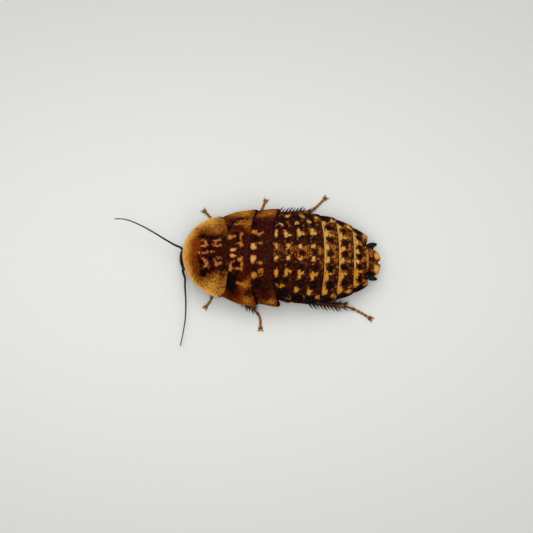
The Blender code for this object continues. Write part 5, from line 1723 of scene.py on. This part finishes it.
def make_leg(name, joints, finishes, thorns, bristles):
    """Coxa, trochanter, femur, spined tibia, five-jointed foot and claws."""
    pair, side = name.split("_")
    scale = LEG_SCALES[pair]
    sign = SIDES[side]
    hip, trochanter, knee, ankle = (np.array(point) for point in joints[:4])
    to_knee, to_ankle = unit(knee - trochanter), unit(ankle - knee)
    made = [
        limb(f"{name}_coxa_form", hip, trochanter, COXA_SHAPE, np.array(COXA_RADII) * scale,
             finishes["coxa"], 48, 36),
        limb(f"{name}_trochanter", trochanter - to_knee * 0.55 * scale, trochanter + to_knee * 1.0 * scale,
             TROCHANTER_SHAPE, np.array(TROCHANTER_RADII) * scale, finishes["coxa"], 26, 24),
        limb(f"{name}_femur_form", trochanter + to_knee * 0.3 * scale, knee, FEMUR_SHAPE,
             np.array(FEMUR_RADII) * scale, finishes["femur"], 52, 32),
        limb(f"{name}_tibia_form", knee + to_ankle * 0.2 * scale, ankle, TIBIA_SHAPE,
             np.array((TIBIA_RADIUS, TIBIA_RADIUS)) * scale, finishes["tibia"], 60, 24),
    ]
    for part, node in zip(made, ("coxa", None, "femur", "tibia")):
        wear(part, "leg", *([f"{name}_{node}"] if node else []))
    made += leg_spines(name, knee, ankle, pair, sign, finishes, thorns)
    made += leg_hairs(name, made[2:4], to_knee, to_ankle, finishes, bristles)
    made += make_foot(name, ankle, joints[4], finishes)
    return made


def leg_spines(name, knee, ankle, pair, sign, finishes, thorns):
    """Rows of long spines that lean towards the foot, each in its socket, and spurs at the end."""
    scale = LEG_SCALES[pair]
    along = unit(ankle - knee)
    across = unit(np.cross(along, UP))
    upward = np.cross(across, along)
    outward = across if across[1] * sign > 0 else -across
    start = knee + along * FEMUR_RADII[0] * scale * 0.8
    places, leans, sizes = [], [], []

    def spine(share, angle, lean, size):
        tilt = math.radians(angle)
        out = outward * math.cos(tilt) + upward * math.sin(tilt)
        places.append(start + (ankle - start) * share + out * TIBIA_RADIUS * scale * 0.7)
        leans.append(unit(out + along * lean))
        sizes.append(size * scale)

    for first, share, size, angle in SPINE_ROWS:
        number = max(2, round(SPINE_COUNTS[pair] * share))
        for i in range(number):
            zigzag = SPINE_ZIGZAG if i % 2 else -SPINE_ZIGZAG
            varied = size * (0.9 + 0.14 * math.sin(2.1 * i + angle))
            spine(first + SPINE_SPAN * i / number, angle + zigzag, SPINE_LEAN, varied)
    for angle in SPUR_ANGLES:
        spine(SPUR_PLACE, angle, SPUR_LEAN, SPUR_SIZE)
    made = []
    for kind, length, radius, finish in SPINE_PARTS:
        obj = points_object(f"{name}_{kind}", places, leans, sizes)
        grow(obj, thorns, **{"Length": length * MM, "Root radius": radius * MM,
                             "Bend": length * 0.12 * MM, "Sides": 8, "Material": finishes[finish]})
        made.append(wear(obj, "leg"))
    return made


def hairs_on(part, name, bristles, finishes, hair, lean, seed):
    """Hairs over a finished piece, of a (number on a square millimetre, length, root radius)."""
    density, length, radius = hair
    return grow(add_object(name, part.data.copy()), bristles,
                **{"Density": density / MM**2, "Length": length * MM, "Root radius": radius * MM,
                   "Lean": tuple(lean), "Seed": seed, "Material": finishes["hair"]})


def leg_hairs(name, parts, to_knee, to_ankle, finishes, bristles):
    """Short golden hairs on femur and tibia, laid towards the foot."""
    made = []
    for part, lean in zip(parts, (to_knee, to_ankle)):
        kind = "femur" if part.name.endswith("femur_form") else "tibia"
        obj = hairs_on(part, f"{name}_{kind}_hairs", bristles, finishes, LEG_HAIRS, lean * 1.3, len(name))
        made.append(wear(obj, "leg"))
    return made


def make_foot(name, ankle, foot, finishes):
    """Five joints flat on the ground, with soft pads below, then two hooked claws round a pad."""
    foot = [np.array(point) for point in foot]
    start = ankle + unit(foot[0] - ankle) * 0.1
    count = 90
    share = np.linspace(0, 1, count)
    centres = route([start, *foot], count)
    joint = np.clip(np.searchsorted(FOOT_JOINTS, share, side="right") - 1, 0, 4)
    edges = np.array(FOOT_JOINTS)
    local = (share - edges[joint]) / (edges[joint + 1] - edges[joint])
    size = FOOT_RADIUS * smooth(FOOT_JOINT_SHAPE, local)
    ends = np.minimum(share, 1 - share) * np.linalg.norm(foot[-1] - start)
    size = size * rounded(ends / FOOT_ROUNDING)
    flare = FOOT_TIP_FLARE * ease(share, 0.74, 0.99)
    body = tube(f"{name}_foot_joints", centres, size * (1 + flare), size * 0.92 * (1 + 0.2 * flare),
                finishes["tarsus"], 20)
    ringed = np.where(joint == 4, 0.78, 1) * local
    paint_limb(body, share, ringed, 20)
    level_on_ground(body)
    made = [wear(body, "leg", f"{name}_tarsus")]
    for i, at in enumerate(FOOT_JOINTS[1:5], 1):
        k = int(at * (count - 1)) - 2
        low = centres[k] * (1, 1, 0) + UP * FOOT_PAD_RADII[2]
        along = unit((centres[k + 1] - centres[k]) * (1, 1, 0))
        across = np.cross(along, UP)
        if centres[k][2] < FOOT_LEVEL + 0.1:
            points = ellipsoid(low, (along, across, UP), FOOT_PAD_RADII, 10, 16)
            pad = ring_stack(f"{name}_pad_{i}", points[:, ::-1], finishes["pad"])
            made.append(wear(pad, "leg"))
    return made + make_claws(name, centres, finishes)


def level_on_ground(obj):
    """Whatever would reach below the ground lies flat on it."""
    for vertex in obj.data.vertices:
        vertex.co.z = max(0.0, vertex.co.z)


def make_claws(name, centres, finishes):
    """Two hooked claws, and the soft pad between them."""
    ahead = unit((centres[-1] - centres[-12]) * (1, 1, 0))
    across = np.cross(ahead, UP)
    root = centres[-1] - ahead * 0.12
    made = []
    for side, sign in SIDES.items():
        lean = across * sign * 0.5 + ahead * 0.7
        start = root + across * sign * CLAW_SPACING
        centre = route([start, start + lean * 0.3 + UP * 0.05, start + lean * 0.6 + ahead * 0.08 - UP * 0.02,
                        start + lean * 0.68 + ahead * 0.2 - UP * 0.15], 24)
        s = np.linspace(0, 1, 24)
        size = CLAW_RADIUS * (1.02 - s) ** 0.75
        claw = tube(f"{name}_claw_{side}", centre, size, size, finishes["claw"], 14)
        level_on_ground(claw)
        made.append(wear(claw, "leg"))
    points = ellipsoid(root + ahead * 0.22 - UP * 0.02, (ahead, across, UP), AROLIUM_RADII, 12, 18)
    made.append(wear(ring_stack(f"{name}_arolium", points[:, ::-1], finishes["pad"]), "leg"))
    return made


# granules and hairs of the body


def outer_skin(plate):
    """A copy of only the outer grid of a shell, for scattering on."""
    count = len(plate.data.vertices) // 2
    corners = np.zeros(len(plate.data.loops), int)
    plate.data.loops.foreach_get("vertex_index", corners)
    faces = corners.reshape(-1, 4)
    faces = faces[(faces < count).all(axis=1)]
    points = np.zeros(count * 2 * 3)
    plate.data.vertices.foreach_get("co", points)
    data = bpy.data.meshes.new(plate.name + "_skin")
    data.from_pydata(points.reshape(-1, 3)[:count].tolist(), [], faces.tolist())
    return add_object(plate.name.replace("_plate", "") + "_granules", data)


def make_granules(plates, granules, finishes):
    made = []
    for i, plate in enumerate(plates):
        obj = outer_skin(plate)
        grow(obj, granules, **{"Density": 1.6 / MM**2, "Radius": 0.045 * MM, "Seed": 20 + i,
                               "Material": finishes["granule"]})
        made.append(wear(obj, "back"))
    return made


def make_belly_hairs(trunk, bristles, finishes):
    """Fine hairs on the sternites, laid backwards."""
    obj = hairs_on(trunk, "belly_hairs", bristles, finishes, BELLY_HAIRS, BELLY_HAIR_LEAN, BELLY_HAIR_SEED)
    return wear(obj, "belly")


# floor, light and camera


def make_stage():
    """A pale floor, brightest near the animal: a painted pool of light that fades to a darker edge."""
    data = bpy.data.meshes.new("floor")
    half = FLOOR_HALF_WIDTH
    data.from_pydata([(-half, -half, 0), (half, -half, 0), (half, half, 0), (-half, half, 0)], [],
                     [(0, 1, 2, 3)])
    floor = add_object("floor", data)
    paper = Finish("paper", 0.95)
    paper.shader.inputs["Specular IOR Level"].default_value = 0.1
    far = paper.vector("DISTANCE", paper.vector("MULTIPLY", paper.place, PAINTED_POOL_STRETCH), PAINTED_POOL_CENTRE)
    tone = paper.mix(paper.step(far, *PAINTED_POOL_FADE), BACKDROP, BACKDROP_PAINTED_SHADE)
    data.materials.append(paper.done(tone))


def add_light(name, place, size, power, colour):
    """A round lamp that looks at the animal."""
    lamp = bpy.data.lights.new(name, "AREA")
    lamp.shape = "DISK"
    lamp.size = size
    lamp.energy = power
    lamp.color = colour
    obj = add_object(name, lamp)
    obj.location = place
    obj.rotation_euler = (-Vector(place)).to_track_quat("-Z", "Y").to_euler()


def make_light():
    world = bpy.data.worlds.new("soft_room")
    bpy.context.scene.world = world
    world.use_nodes = True
    nodes, links = world.node_tree.nodes, world.node_tree.links
    seat = nodes.new("ShaderNodeTexCoord")
    split = nodes.new("ShaderNodeSeparateXYZ")
    glow = nodes.new("ShaderNodeMapRange")
    links.new(seat.outputs["Generated"], split.inputs[0])
    links.new(split.outputs["Y"], glow.inputs["Value"])
    glow.interpolation_type = "SMOOTHSTEP"
    for label, value in ROOM_GLOW.items():
        glow.inputs[label].default_value = value
    links.new(glow.outputs["Result"], nodes["Background"].inputs["Strength"])
    nodes["Background"].inputs["Color"].default_value = ROOM_COLOUR
    for lamp in LAMPS:
        add_light(*lamp)


def make_camera():
    """The photograph's view: almost straight down, from a little towards the animal's left."""
    camera = bpy.data.cameras.new("camera")
    obj = add_object("camera", camera)
    tilt = math.radians(CAMERA_TILT)
    back = Vector((0, -math.cos(tilt), math.sin(tilt)))
    obj.location = Vector((AIM + STANCE) * MM) + back * CAMERA_DISTANCE
    obj.rotation_euler = (-back).to_track_quat("-Z", "Y").to_euler()
    camera.sensor_width = SENSOR
    camera.lens = SENSOR * CAMERA_DISTANCE / VIEW_WIDTH
    camera.clip_start = 0.01
    bpy.context.scene.camera = obj
    bpy.context.scene.view_settings.view_transform = "Standard"


def main():
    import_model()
    finishes = make_finishes()
    thorns, bristles, granules = thorn_tree(), bristle_tree(), granule_tree()
    jointed, facets = jointed_tree(), facet_tree()
    plates = [make_shield(finishes), *make_winged_plates(finishes), *make_tergites(finishes)]
    plates += make_tail(finishes)
    make_granules(plates[1:], granules, finishes)
    trunk = make_abdomen(finishes)
    make_belly_hairs(trunk, bristles, finishes)
    make_thorax(finishes)
    make_head(finishes, facets)
    make_mouth(finishes)
    make_feelers(finishes, jointed, thorns)
    for name, joints in LEGS.items():
        make_leg(name, joints, finishes, thorns, bristles)
    make_stage()
    make_light()
    make_camera()


main()
